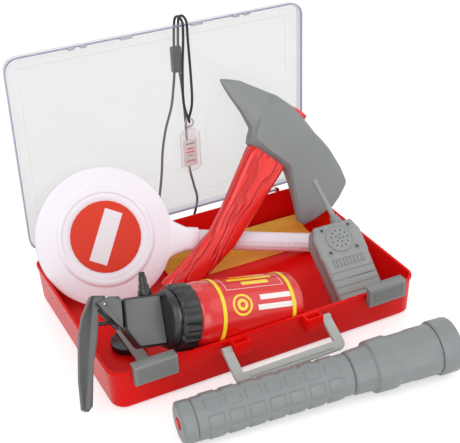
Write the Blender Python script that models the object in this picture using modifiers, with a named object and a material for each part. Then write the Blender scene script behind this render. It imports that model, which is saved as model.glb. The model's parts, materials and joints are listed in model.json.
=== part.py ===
"""Toy firefighter kit: an open carrying case with its toys lying in it and in front of it. Metres, +Z up.

The origin is on the floor under the middle of the case. X runs along the case, +Y to the lid.
Each toy has a frame, an empty at its own reference point, and settles on what lies under it.
"""

import math

import bmesh
import bpy
from mathutils import Matrix, Vector
from mathutils.bvhtree import BVHTree

# Clearances that the whole kit shares
CLEARANCE = 0.0003
CUT_OVERRUN = 0.002
MERGE_DISTANCE = 0.00001
ROUND_STEPS = 24
SMALL_ROUND_STEPS = 12

# Case
CASE_WIDTH = 0.360
CASE_DEPTH = 0.250
CASE_HEIGHT = 0.047
CASE_DRAFT = 0.0033
CASE_WALL = 0.0016
CASE_FLOOR = 0.0024
CASE_CORNER = 0.018
CORNER_STEPS = 5
RIM_LIP = 0.0014
RIM_THICKNESS = 0.0024
BOTTOM_FILLET = 0.004

# Sockets in the front rim, which carry the handle, and the two shallow rim notches
SOCKET_PLACE = 0.0425
SOCKET_WIDTH = 0.019
SOCKET_DEPTH = 0.0115
SOCKET_HEIGHT = 0.0155
SOCKET_WALL = 0.0022
NOTCH_INSET = 0.0815
NOTCH_WIDTH = 0.022
NOTCH_DEPTH = 0.0012
NOTCH_REACH = 0.0016

# Lid and its two hinges
LID_HEIGHT = 0.2342
LID_DEPTH = 0.0105
LID_WALL = 0.0018
LID_CORNER = 0.016
LID_EDGE_GAP = 0.0063
LID_PANEL_STEP = 0.0009
LID_FRAME_INSET = 0.017
LID_WINDOW_WIDTH = 0.105
LID_WINDOW_HEIGHT = 0.072
LID_WINDOW_RISE = 0.052
LID_TAB_WIDTH = 0.0135
LID_TAB_REACH = 0.0045
LID_TAB_THICKNESS = 0.0022
HINGE_INSET = 0.048
HINGE_OFFSET = 0.0018
HINGE_RISE = 0.0016
KNUCKLE_LENGTH = 0.020
KNUCKLE_RADIUS = 0.0022
HINGE_PIN_RADIUS = 0.0009
EAR_WIDTH = 0.003
EAR_DROP = 0.0052

# Latches
LATCH_INSET = 0.045
LATCH_WIDTH = 0.046
LATCH_HEIGHT = 0.021
LATCH_RISE = 0.008
LATCH_THICKNESS = 0.0068
LATCH_HOOK = 0.0047
LATCH_PLATE = 0.0020
LATCH_CHEEK = 0.004
LATCH_GAP = 0.0012
LATCH_PIN_RADIUS = 0.0010
LATCH_PIN_RISE = 0.0036
LATCH_LUG_WIDTH = 0.026
LATCH_LUG_WALL = 0.0008

# Carrying handle
HANDLE_BAR = 0.0105
HANDLE_THICKNESS = 0.0042
HANDLE_REACH = 0.0335
HANDLE_CORNER = 0.007
HANDLE_EYE_RADIUS = 0.0036
HANDLE_PIN_RADIUS = 0.0018
HANDLE_DROOP = 29.0
HANDLE_SIDE_GAP = 0.0008
HANDLE_RIDGE_WIDTH = 0.004
HANDLE_RIDGE_HEIGHT = 0.001

# Paper sheet along the back of the case, and the spare strip and cap that lie under the extinguisher
SHEET_LENGTH = 0.196
SHEET_PLACE = 0.066
SHEET_THICKNESS = 0.001
SHEET_DEPTH = 0.060
SHEET_RISE = 0.009
STRIP_WIDTH = 0.014
STRIP_LENGTH = 0.106
STRIP_THICKNESS = 0.0024
CAP_RADIUS = 0.019
CAP_HEIGHT = 0.0075
CAP_WALL = 0.0015

# Stop paddle
DISC_RADIUS = 0.0795
DISC_THICKNESS = 0.009
DISC_RING_RADIUS = 0.0530
DISC_RING_HEIGHT = 0.0022
DISC_EDGE_DROP = 0.0016
LABEL_RADIUS = 0.0410
LABEL_THICKNESS = 0.0006
NECK_START = 0.074
NECK_WIDE = 0.052
NECK_LENGTH = 0.020
COLLAR_END = 0.108
COLLAR_WIDTH = 0.0285
NECK_THICKNESS = 0.020
GRIP_RADIUS = 0.0117
GRIP_BORE = 0.0090
GRIP_START = 0.096
GRIP_END = 0.254
RIBS_START = 0.146
RIB_PITCH = 0.0022
RIB_DEPTH = 0.0011
GRIP_CAP_LENGTH = 0.006
GRIP_SIDES_RESOLUTION = 4

# Toy axe, measured from the place where its handle crosses the paddle's tube
AXE_HEAD_LENGTH = 0.212
AXE_HEAD_HEIGHT = 0.066
AXE_HEAD_THICKNESS = 0.028
AXE_MOUTH = 0.112
AXE_HANDLE_WIDTH = 0.036
AXE_HANDLE_THICKNESS = 0.022
AXE_HANDLE_DROP = 0.082
AXE_TENON_WIDTH = 0.025
AXE_TENON_THICKNESS = 0.015
AXE_TENON_PLACE = 0.010
AXE_TENON_LENGTH = 0.068
AXE_HANDLE_SIDES = 12
AXE_SECTION_SQUARENESS = 3.0

# Extinguisher bottle and its cap, along the bottle's axis from the middle of its bottom
BOTTLE_RADIUS = 0.0348
BOTTLE_BODY = 0.110
BOTTLE_WALL = 0.0014
BOTTLE_BOTTOM_FILLET = 0.007
BOTTLE_SHOULDER = 0.014
BOTTLE_NECK_RADIUS = 0.0300
BOTTLE_NECK_LENGTH = 0.0165
BOTTLE_MOUTH_RADIUS = 0.0230
BAND_WIDTH = 0.0042
BAND_THICKNESS = 0.0005
BAND_LOW = 0.014
BAND_HIGH = 0.097
SCREW_CAP_RADIUS = 0.0348
SCREW_CAP_LENGTH = 0.0175
SCREW_CAP_FLUTE = 0.0012
SCREW_CAP_RIBS = 20
SCREW_CAP_TOP = 0.0022
SCREW_CAP_HOLE = 0.0190

# Pump head
PUMP_FLANGE_RADIUS = 0.0275
PUMP_FLANGE_THICKNESS = 0.0012
PUMP_DOME_RADIUS = 0.0305
PUMP_DOME_LENGTH = 0.0095
PUMP_LENGTH = 0.044
PUMP_WIDTH = 0.051
PUMP_THICKNESS = 0.017
PUMP_EDGE = 0.0018
PUMP_CHEEK_LENGTH = 0.0245
PUMP_SLOT = 0.0108
PUMP_WEB = 0.0030
LEVER_LENGTH = 0.109
LEVER_THICKNESS = 0.0100
LEVER_EDGE = 0.0010
LEVER_PIVOT_REACH = 0.0625
LEVER_PIVOT_SIDE = 0.0215
LEVER_PIN_RADIUS = 0.0011
ROD_RADIUS = 0.0021
ROD_SIDE = 0.0035
ROD_INSIDE = 0.026
ROD_TRAVEL = 0.0062
PISTON_RADIUS = 0.0044
PISTON_LENGTH = 0.004
CHAMBER_LENGTH = 0.030
SPRING_WIRE_RADIUS = 0.00035
SPRING_RADIUS = 0.0021
SPRING_TURNS = 3
SPRING_PITCH = 0.0012
SPRING_POINTS = 8
SPRING_POCKET_RADIUS = 0.0032
NOZZLE_REACH = 0.0500
NOZZLE_RADIUS = 0.0048
NOZZLE_PLACE = 0.0145
NOZZLE_COLLAR_RADIUS = 0.0068
NOZZLE_COLLAR_LENGTH = 0.0070
NOZZLE_BORE = 0.0015
DIP_TUBE_RADIUS = 0.0032
DIP_TUBE_BORE = 0.0020
DIP_TUBE_END = 0.010

# Two-way radio
RADIO_WIDTH = 0.058
RADIO_LENGTH = 0.102
RADIO_THICKNESS = 0.026
RADIO_FRONT_SHARE = 0.46
RADIO_WALL = 0.0020
RADIO_EDGE = 0.0022
SPEAKER_RADIUS = 0.0160
SPEAKER_RISE = 0.0012
SPEAKER_PLACE = 0.082
RADIO_SCREW_SPREAD = 0.0165
RADIO_SCREW_HEIGHT = 0.0138
RADIO_SCREW_RADIUS = 0.0016
RADIO_SCREW_LENGTH = 0.0060
RADIO_BOSS_RADIUS = 0.0034
RADIO_BOSS_RISE = 0.0007
GROOVE_PITCH = 0.0085
GROOVE_FIRST = 0.0185
GROOVE_COUNT = 4
GROOVE_WIDTH = 0.0012
GROOVE_DEPTH = 0.0010
GRILLE_PLACE = 0.0545
GRILLE_LENGTH = 0.038
GRILLE_HEIGHT = 0.0095
GRILLE_DEPTH = 0.0010
ANTENNA_REACH = 0.0605
ANTENNA_PLACE = 0.0105
ANTENNA_LEAN = -5.4
ANTENNA_RADIUS = 0.0027
ANTENNA_TIP_RADIUS = 0.0032
ANTENNA_BASE_RADIUS = 0.0070
ANTENNA_BASE_LENGTH = 0.011
ANTENNA_SPIGOT_RADIUS = 0.0030
ANTENNA_SPIGOT_LENGTH = 0.005
TALK_BUTTON_LENGTH = 0.018
TALK_BUTTON_WIDTH = 0.008
TALK_BUTTON_RISE = 0.0022
TALK_BUTTON_INSIDE = 0.005
TALK_BUTTON_PLACE = 0.076

# Torch, along its axis from its tail
TORCH_BODY_RADIUS = 0.0205
TORCH_BODY_LENGTH = 0.162
TORCH_BORE_RADIUS = 0.0140
TORCH_SIDES = 8
TORCH_PAD_PITCH = 0.0205
TORCH_PAD_COUNT = 7
TORCH_PAD_LENGTH = 0.0150
TORCH_PAD_WIDTH = 0.0110
TORCH_PAD_RISE = 0.0010
TORCH_PAD_START = 0.0185
TAIL_CAP_LENGTH = 0.014
TAIL_BUTTON_RADIUS = 0.0062
TAIL_BUTTON_RISE = 0.0012
TAIL_BUTTON_LENGTH = 0.006
TAIL_BUTTON_TRAVEL = 0.001
TORCH_NECK_LENGTH = 0.022
TORCH_HEAD_LENGTH = 0.094
TORCH_HEAD_RADIUS = 0.0265
BEZEL_RADIUS = 0.0285
BEZEL_LENGTH = 0.022
TORCH_WALL = 0.0022
CELL_RADIUS = 0.0131
CELL_LENGTH = 0.045
CELL_COUNT = 3
CONTACT_SPRING_RADIUS = 0.0080
CONTACT_SPRING_WIRE_RADIUS = 0.0006
CONTACT_SPRING_TURNS = 3
REFLECTOR_DEPTH = 0.024
LENS_THICKNESS = 0.0016
LENS_INSET = 0.0060
BULB_RADIUS = 0.0028
BULB_LENGTH = 0.009

# Neck cord with its tag
CORD_DIAMETER = 0.003
STRAND_POINT_SPACING = 0.0062
LOOP_POINT_SPACING = 0.0140
TAG_WIDTH = 0.024
TAG_HEIGHT = 0.054
TAG_THICKNESS = 0.0052
TAG_WALL = 0.0016
TAG_CHAMFER_share = 0.24
TAG_TAB_RISE = 0.0027
TAG_TAB_WIDTH = 0.003
CARD_THICKNESS = 0.0008
CARD_MARGIN = 0.0022
RING_RADIUS = 0.0052
RING_WIRE_RADIUS = 0.0009
CLASP_WIDTH = 0.0125
CLASP_HEIGHT = 0.030
CLASP_THICKNESS = 0.0076

# Places of the toys, as shares of the case's half width, half depth and height
PADDLE_PLACE_shares = (-0.5720, 0.680, 1.60)
AXE_PLACE_shares = (0.1311, 0.333, 1.30)
BOTTLE_PLACE_shares = (0.2250, -0.672, 0.90)
RADIO_PLACE_shares = (0.5222, -0.893, 0.60)
TORCH_PLACE_shares = (-0.7722, -1.510, 0.50)
PADDLE_ALONG = (0.9575, -0.1712, -0.2322)
PADDLE_FACE = (-0.0455, -0.8844, 0.4645)
AXE_UP = (0.6865, 0.2962, 0.6641)
AXE_FACE = (0.0639, -0.9369, 0.3437)
BOTTLE_ALONG = (-0.9748, -0.0288, 0.2211)
BOTTLE_ROLL = 52.0
RADIO_UP = (0.0369, 0.7900, 0.6106)
RADIO_ACROSS = (0.9977, -0.0627, 0.0187)
TORCH_ALONG = (0.9939, -0.1094, 0.0)

RED = (0.60, 0.012, 0.010)
GREY = (0.33, 0.35, 0.35)
BLACK = (0.015, 0.016, 0.018)
WHITE = (0.80, 0.75, 0.82)
YELLOW = (0.90, 0.66, 0.02)
STEEL = (0.60, 0.60, 0.62)
CLEAR = (0.80, 0.80, 0.85)
ORANGE_RED = (0.72, 0.05, 0.02)

for old in list(bpy.data.objects):
    bpy.data.objects.remove(old)
kit = bpy.data.collections.new("toy_firefighter_kit")
cutters = bpy.data.collections.new("cutters")
bpy.context.scene.collection.children.link(kit)
bpy.context.scene.collection.children.link(cutters)


def give_material(obj, colour, roughness, metallic=0.0, transmission=0.0):
    """One Principled material for one piece."""
    material = bpy.data.materials.new(obj.name)
    material.use_nodes = True
    shader = material.node_tree.nodes["Principled BSDF"]
    shader.inputs["Base Color"].default_value = (*colour, 1.0)
    shader.inputs["Roughness"].default_value = roughness
    shader.inputs["Metallic"].default_value = metallic
    shader.inputs["Transmission Weight"].default_value = transmission
    material.diffuse_color = (*colour, 1.0)
    obj.data.materials.append(material)


def make_frame(name, place, parent=None):
    """An empty; place is its matrix in its parent's space."""
    frame = bpy.data.objects.new(name, None)
    frame.empty_display_size = CASE_CORNER
    kit.objects.link(frame)
    frame.parent = parent
    frame.matrix_local = place
    return frame


def axes_matrix(origin, x_axis, z_axis):
    """The matrix of a frame at origin; z_axis is kept, and x_axis is squared to it."""
    z_axis = Vector(z_axis).normalized()
    y_axis = z_axis.cross(Vector(x_axis)).normalized()
    x_axis = y_axis.cross(z_axis)
    matrix = Matrix((x_axis, y_axis, z_axis)).transposed().to_4x4()
    return Matrix.Translation(origin) @ matrix


def add_piece(name, mesh, frame=None, pivot=(0, 0, 0), collection=kit):
    """An object for a finished mesh or bmesh whose points are in toy coordinates. Its frame stands at pivot there."""
    if isinstance(mesh, bmesh.types.BMesh):
        data = bpy.data.meshes.new(name)
        mesh.to_mesh(data)
        mesh.free()
    else:
        data = mesh
    obj = bpy.data.objects.new(name, data)
    collection.objects.link(obj)
    obj.parent = frame
    obj.matrix_local = Matrix.Translation(-Vector(pivot))
    if collection == cutters:
        obj.hide_render = True
        obj.display_type = "WIRE"
    return obj


def smooth(obj, angle=40):
    obj.data.shade_smooth()
    obj.data.set_sharp_from_angle(angle=math.radians(angle))


def combine(obj, other, operation):
    """A Boolean of obj with the cutter object other."""
    modifier = obj.modifiers.new(other.name, "BOOLEAN")
    modifier.operation = operation
    modifier.object = other
    modifier.solver = "EXACT"
    modifier.use_self = True


def apply_modifiers(obj):
    """Replaces the object's mesh with what its modifiers make of it."""
    bpy.context.view_layer.update()
    graph = bpy.context.evaluated_depsgraph_get()
    mesh = bpy.data.meshes.new_from_object(obj.evaluated_get(graph), depsgraph=graph)
    obj.modifiers.clear()
    obj.data = mesh


def bevel(obj, width, segments=1, angle=35):
    modifier = obj.modifiers.new("edges", "BEVEL")
    modifier.width = width
    modifier.segments = segments
    modifier.limit_method = "ANGLE"
    modifier.angle_limit = math.radians(angle)
    modifier.harden_normals = False


def add_block(mesh, size, centre):
    """A box in the bmesh."""
    matrix = Matrix.Translation(centre) @ Matrix.Diagonal((*size, 1.0))
    bmesh.ops.create_cube(mesh, size=1.0, matrix=matrix)


def add_rod(mesh, radius, length, centre, axis, steps=SMALL_ROUND_STEPS):
    """A closed cylinder in the bmesh, about axis and centred on centre."""
    turn = Vector((0, 0, 1)).rotation_difference(Vector(axis)).to_matrix().to_4x4()
    matrix = Matrix.Translation(centre) @ turn
    bmesh.ops.create_cone(mesh, cap_ends=True, segments=steps, radius1=radius, radius2=radius,
                          depth=length, matrix=matrix)


def loft(rings, closed=False):
    """A closed skin through rings of equally many points. Unless closed into a loop, its two ends are capped."""
    mesh = bmesh.new()
    rows = [[mesh.verts.new(point) for point in ring] for ring in rings]
    pairs = list(zip(rows, rows[1:]))
    if closed:
        pairs.append((rows[-1], rows[0]))
    for low, high in pairs:
        for index in range(len(low)):
            after = (index + 1) % len(low)
            mesh.faces.new((low[index], low[after], high[after], high[index]))
    if not closed:
        mesh.faces.new(rows[0])
        mesh.faces.new(rows[-1])
    bmesh.ops.recalc_face_normals(mesh, faces=mesh.faces)
    return mesh


def turned(name, profile, frame=None, pivot=(0, 0, 0), steps=ROUND_STEPS, ring=False, base=None, collection=kit):
    """A turned piece. The profile is (radius, height) from the top down the outer side; a ring's profile closes."""
    data = bpy.data.meshes.new(name)
    edges = [(index, index + 1) for index in range(len(profile) - 1)]
    if ring:
        edges.append((len(profile) - 1, 0))
    data.from_pydata([(radius, 0, height) for radius, height in profile], edges, [])
    obj = bpy.data.objects.new(name, data)
    collection.objects.link(obj)
    screw = obj.modifiers.new("turn", "SCREW")
    screw.steps = steps
    screw.render_steps = steps
    screw.use_merge_vertices = True
    screw.merge_threshold = MERGE_DISTANCE
    screw.use_smooth_shade = True
    apply_modifiers(obj)
    if base is not None:
        obj.data.transform(base)
    obj.parent = frame
    obj.matrix_local = Matrix.Translation(-Vector(pivot))
    if collection == cutters:
        obj.hide_render = True
        obj.display_type = "WIRE"
    else:
        smooth(obj)
    return obj


def flat_mesh(outline, thickness):
    """A plate in XY, centred on Z = 0, from a flat curve."""
    curve = bpy.data.curves.new("outline", "CURVE")
    curve.dimensions = "2D"
    curve.fill_mode = "BOTH"
    curve.extrude = thickness / 2
    spline = curve.splines.new("POLY")
    spline.points.add(len(outline) - 1)
    for point, (x, y) in zip(spline.points, outline):
        point.co = (x, y, 0, 1)
    spline.use_cyclic_u = True
    return mesh_of_curve(curve)


def mesh_of_curve(curve):
    """The curve's solid as a bmesh with its loose caps welded."""
    obj = bpy.data.objects.new("outline", curve)
    cutters.objects.link(obj)
    bpy.context.view_layer.update()
    graph = bpy.context.evaluated_depsgraph_get()
    data = bpy.data.meshes.new_from_object(obj.evaluated_get(graph), depsgraph=graph)
    bpy.data.objects.remove(obj)
    mesh = bmesh.new()
    mesh.from_mesh(data)
    bpy.data.meshes.remove(data)
    bmesh.ops.remove_doubles(mesh, verts=mesh.verts, dist=MERGE_DISTANCE)
    bmesh.ops.recalc_face_normals(mesh, faces=mesh.faces)
    return mesh


def tube_mesh(points, radius, resolution=2, radii=None):
    """A round wire or tube through the points."""
    curve = bpy.data.curves.new("route", "CURVE")
    curve.dimensions = "3D"
    curve.bevel_depth = radius
    curve.bevel_resolution = resolution
    curve.use_fill_caps = True
    spline = curve.splines.new("POLY")
    spline.points.add(len(points) - 1)
    for index, (point, place) in enumerate(zip(spline.points, points)):
        point.co = (*place, 1)
        point.radius = radii[index] / radius if radii else 1
    return mesh_of_curve(curve)


def rounded_rectangle(width, depth, corner, level):
    """Points of a rounded rectangle about the origin, at height level."""
    points = []
    for side_x, side_y, start in ((1, -1, -90), (1, 1, 0), (-1, 1, 90), (-1, -1, 180)):
        for step in range(CORNER_STEPS + 1):
            angle = math.radians(start + 90 * step / CORNER_STEPS)
            x = side_x * (width / 2 - corner) + corner * math.cos(angle)
            y = side_y * (depth / 2 - corner) + corner * math.sin(angle)
            points.append(Vector((x, y, level)))
    return points


def dish(width, depth, corner, stations):
    """A tray-like skin: rings at (inset, level) from the bottom out, up, over the rim and down inside."""
    return loft([rounded_rectangle(width - 2 * inset, depth - 2 * inset, corner - inset, level)
                 for inset, level in stations])


def superellipse(width, height, power, sides):
    """Points of a rounded section about the origin."""
    points = []
    for index in range(sides):
        angle = 2 * math.pi * (index + 0.5) / sides
        cosine, sine = math.cos(angle), math.sin(angle)
        x = math.copysign(abs(cosine) ** (2 / power), cosine) * width / 2
        y = math.copysign(abs(sine) ** (2 / power), sine) * height / 2
        points.append((x, y))
    return points


def skins(objects):
    """World points and faces of the evaluated objects, as one mesh."""
    bpy.context.view_layer.update()
    graph = bpy.context.evaluated_depsgraph_get()
    points = []
    faces = []
    for obj in objects:
        evaluated = obj.evaluated_get(graph)
        mesh = evaluated.to_mesh()
        start = len(points)
        points += [evaluated.matrix_world @ vertex.co for vertex in mesh.vertices]
        mesh.calc_loop_triangles()
        faces += [tuple(start + index for index in face.vertices) for face in mesh.loop_triangles]
        evaluated.to_mesh_clear()
    return points, faces


def settle(frame, toy, support):
    """Lowers a toy straight down until it is one clearance above what carries it."""
    points, faces = skins(toy)
    below = BVHTree.FromPolygons(*skins(support))

    def meets(drop):
        moved = [point - Vector((0, 0, drop)) for point in points]
        return bool(BVHTree.FromPolygons(moved, faces).overlap(below))

    step = CASE_FLOOR
    drop = -CASE_HEIGHT
    for _ in range(round(4 * CASE_HEIGHT / step)):
        if meets(drop + step):
            break
        drop += step
    else:
        raise RuntimeError(frame.name + " meets nothing below it")
    low, high = drop, drop + step
    while high - low > CLEARANCE / 10:
        middle = (low + high) / 2
        if meets(middle):
            high = middle
        else:
            low = middle
    frame.matrix_world = Matrix.Translation((0, 0, CLEARANCE - low)) @ frame.matrix_world
    bpy.context.view_layer.update()


def case_place(shares):
    """A place given as shares of the case's half width, half depth and height."""
    return Vector((shares[0] * CASE_WIDTH / 2, shares[1] * CASE_DEPTH / 2, shares[2] * CASE_HEIGHT))


# Places that more than one piece of the case needs
hinge_place = CASE_WIDTH / 2 - HINGE_INSET
latch_place = CASE_WIDTH / 2 - LATCH_INSET
notch_place = CASE_WIDTH / 2 - NOTCH_INSET
hinge_y = CASE_DEPTH / 2 + HINGE_OFFSET
hinge_z = CASE_HEIGHT + HINGE_RISE
lid_rim_y = hinge_y - HINGE_RISE + CLEARANCE
lid_low_z = hinge_z + LID_EDGE_GAP
latch_front_y = -CASE_DEPTH / 2 - LATCH_GAP - LATCH_THICKNESS
latch_low_z = CASE_HEIGHT + LATCH_RISE - LATCH_HEIGHT
lug_half = LATCH_PIN_RADIUS + CLEARANCE + LATCH_LUG_WALL
latch_axis = Vector((0, latch_front_y + LATCH_PLATE + CLEARANCE + lug_half, latch_low_z + LATCH_PIN_RISE))
handle_axis_y = -CASE_DEPTH / 2 - SOCKET_DEPTH / 2
handle_axis_z = CASE_HEIGHT - SOCKET_HEIGHT / 2
socket_side = SOCKET_PLACE + SOCKET_WIDTH / 2
leg_inner = socket_side + HANDLE_SIDE_GAP
leg_outer = leg_inner + HANDLE_BAR


def make_case():
    """The tray with its sockets, hinge ears and latch lugs."""
    side = CASE_DRAFT + BOTTOM_FILLET
    under_rim = CASE_HEIGHT - RIM_THICKNESS
    tray = add_piece("case_tray", dish(CASE_WIDTH, CASE_DEPTH, CASE_CORNER, (
        (side, 0),
        (CASE_DRAFT, BOTTOM_FILLET),
        (RIM_LIP, under_rim),
        (0, under_rim),
        (0, CASE_HEIGHT),
        (RIM_LIP + CASE_WALL, CASE_HEIGHT),
        (CASE_DRAFT + CASE_WALL, CASE_FLOOR + BOTTOM_FILLET),
        (side + CASE_WALL, CASE_FLOOR))))
    added = bmesh.new()
    for hand in (-1, 1):
        socket = (SOCKET_WIDTH, SOCKET_DEPTH + RIM_LIP, SOCKET_HEIGHT)
        add_block(added, socket, (hand * SOCKET_PLACE, -CASE_DEPTH / 2 - (SOCKET_DEPTH - RIM_LIP) / 2,
                                  CASE_HEIGHT - SOCKET_HEIGHT / 2))
        pin_length = leg_outer - socket_side + SOCKET_WALL
        add_rod(added, HANDLE_PIN_RADIUS, pin_length,
                (hand * (socket_side - SOCKET_WALL + pin_length / 2), handle_axis_y, handle_axis_z), (1, 0, 0))
        for end in (-1, 1):
            ear_x = hand * hinge_place + end * (KNUCKLE_LENGTH + EAR_WIDTH + 2 * CLEARANCE) / 2
            ear = (EAR_WIDTH, KNUCKLE_RADIUS + HINGE_OFFSET + RIM_LIP, EAR_DROP + KNUCKLE_RADIUS)
            add_block(added, ear, (ear_x, hinge_y + KNUCKLE_RADIUS - ear[1] / 2, hinge_z + KNUCKLE_RADIUS - ear[2] / 2))
        lug_place = (hand * latch_place, latch_axis.y, latch_axis.z)
        lug_reach = CASE_DRAFT + CASE_WALL / 2 - CASE_DEPTH / 2 - latch_axis.y
        add_block(added, (LATCH_LUG_WIDTH, lug_reach, 2 * lug_half),
                  (lug_place[0], lug_place[1] + lug_reach / 2, lug_place[2]))
        add_rod(added, lug_half, LATCH_LUG_WIDTH, lug_place, (1, 0, 0), SMALL_ROUND_STEPS)
    added = add_piece("case_additions", added, collection=cutters)
    combine(tray, added, "UNION")
    removed = bmesh.new()
    for hand in (-1, 1):
        hollow = (SOCKET_WIDTH - 2 * SOCKET_WALL, SOCKET_DEPTH - 2 * SOCKET_WALL, SOCKET_HEIGHT - SOCKET_WALL)
        add_block(removed, (hollow[0], hollow[1], hollow[2] + CUT_OVERRUN),
                  (hand * SOCKET_PLACE, -CASE_DEPTH / 2 - SOCKET_DEPTH / 2,
                   CASE_HEIGHT - (hollow[2] - CUT_OVERRUN) / 2))
        add_block(removed, (NOTCH_WIDTH, NOTCH_REACH, NOTCH_DEPTH + CUT_OVERRUN),
                  (hand * notch_place, -CASE_DEPTH / 2 + NOTCH_REACH, CASE_HEIGHT - (NOTCH_DEPTH - CUT_OVERRUN) / 2))
        add_rod(removed, HINGE_PIN_RADIUS + CLEARANCE, KNUCKLE_LENGTH + 2 * EAR_WIDTH + CUT_OVERRUN,
                (hand * hinge_place, hinge_y, hinge_z), (1, 0, 0))
        relief = (KNUCKLE_LENGTH + 2 * CLEARANCE, CUT_OVERRUN, CUT_OVERRUN)
        relief_y = hinge_y - KNUCKLE_RADIUS - CLEARANCE + CUT_OVERRUN / 2
        relief_z = hinge_z - KNUCKLE_RADIUS - CLEARANCE + CUT_OVERRUN / 2
        add_block(removed, relief, (hand * hinge_place, relief_y, relief_z))
        add_rod(removed, LATCH_PIN_RADIUS + CLEARANCE, LATCH_LUG_WIDTH + CUT_OVERRUN,
                (hand * latch_place, latch_axis.y, latch_axis.z), (1, 0, 0))
    removed = add_piece("case_hollows", removed, collection=cutters)
    combine(tray, removed, "DIFFERENCE")
    smooth(tray, 30)
    give_material(tray, RED, 0.25)
    return tray


def make_pins():
    """The hinge pins of the lid and the pivot pins of the latches."""
    for name, radius, length, place in (
            ("hinge_pin_", HINGE_PIN_RADIUS, KNUCKLE_LENGTH + 2 * EAR_WIDTH, (hinge_place, hinge_y, hinge_z)),
            ("latch_pin_", LATCH_PIN_RADIUS, LATCH_WIDTH, (latch_place, latch_axis.y, latch_axis.z))):
        for side, hand in (("left", -1), ("right", 1)):
            mesh = bmesh.new()
            add_rod(mesh, radius, length, (hand * place[0], place[1], place[2]), (1, 0, 0))
            pin = add_piece(name + side, mesh)
            smooth(pin)
            give_material(pin, STEEL, 0.3, metallic=1.0)


def make_lid():
    """The clear lid, standing open. It is a shallow dish whose open side faces the front."""
    axis = (0, hinge_y, hinge_z)
    frame = make_frame("lid_axis", Matrix.Translation(axis))
    stand_up = Matrix.Translation((0, lid_rim_y, lid_low_z + LID_HEIGHT / 2)) @ Matrix.Rotation(math.radians(90), 4, "X")
    panel = -LID_DEPTH
    inset = LID_WALL / 2
    mesh = dish(CASE_WIDTH, LID_HEIGHT, LID_CORNER, (
        (LID_WALL, panel),
        (inset, panel + inset),
        (0, 0),
        (LID_WALL, 0),
        (2 * LID_WALL, panel + LID_WALL)))
    mesh.transform(stand_up)
    lid = add_piece("lid", mesh, frame, axis)
    added = bmesh.new()
    top = lid_low_z + LID_HEIGHT
    back = lid_rim_y + LID_DEPTH
    for hand in (-1, 1):
        arm = (KNUCKLE_LENGTH, KNUCKLE_RADIUS, LID_EDGE_GAP + LID_WALL / 2)
        add_block(added, arm, (hand * hinge_place, hinge_y + KNUCKLE_RADIUS / 2, hinge_z + arm[2] / 2))
        for place in (SOCKET_PLACE, notch_place - LID_TAB_WIDTH / 2, notch_place + LID_TAB_WIDTH / 2):
            width = LID_TAB_WIDTH if place == SOCKET_PLACE else LID_TAB_WIDTH / 2
            tab = (width, LID_TAB_REACH + LID_WALL, LID_TAB_THICKNESS)
            add_block(added, tab, (hand * place, lid_rim_y - LID_TAB_REACH / 2 + LID_WALL / 2,
                                   top - LID_TAB_THICKNESS / 2 - LID_WALL / 4))
    added = add_piece("lid_additions", added, frame, axis, cutters)
    combine(lid, added, "UNION")
    knuckles = bmesh.new()
    for hand in (-1, 1):
        add_rod(knuckles, KNUCKLE_RADIUS, KNUCKLE_LENGTH, (hand * hinge_place, hinge_y, hinge_z), (1, 0, 0))
    knuckles = add_piece("lid_knuckles", knuckles, frame, axis, cutters)
    combine(lid, knuckles, "UNION")
    framing = bmesh.new()
    add_block(framing, (CASE_WIDTH - 2 * LID_FRAME_INSET, 2 * LID_PANEL_STEP, LID_HEIGHT - 2 * LID_FRAME_INSET),
              (0, back, lid_low_z + LID_HEIGHT / 2))
    framing = add_piece("lid_framing", framing, frame, axis, cutters)
    combine(lid, framing, "UNION")
    window = bmesh.new()
    add_block(window, (LID_WINDOW_WIDTH, LID_PANEL_STEP, LID_WINDOW_HEIGHT),
              (0, back + LID_PANEL_STEP, lid_low_z + LID_WINDOW_RISE + LID_WINDOW_HEIGHT / 2))
    window = add_piece("lid_window", window, frame, axis, cutters)
    combine(lid, window, "DIFFERENCE")
    bores = bmesh.new()
    for hand in (-1, 1):
        add_rod(bores, HINGE_PIN_RADIUS + CLEARANCE, KNUCKLE_LENGTH + CUT_OVERRUN,
                (hand * hinge_place, hinge_y, hinge_z), (1, 0, 0))
    bores = add_piece("lid_bores", bores, frame, axis, cutters)
    combine(lid, bores, "DIFFERENCE")
    smooth(lid, 30)
    give_material(lid, CLEAR, 0.08, transmission=0.9)
    return frame


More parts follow.
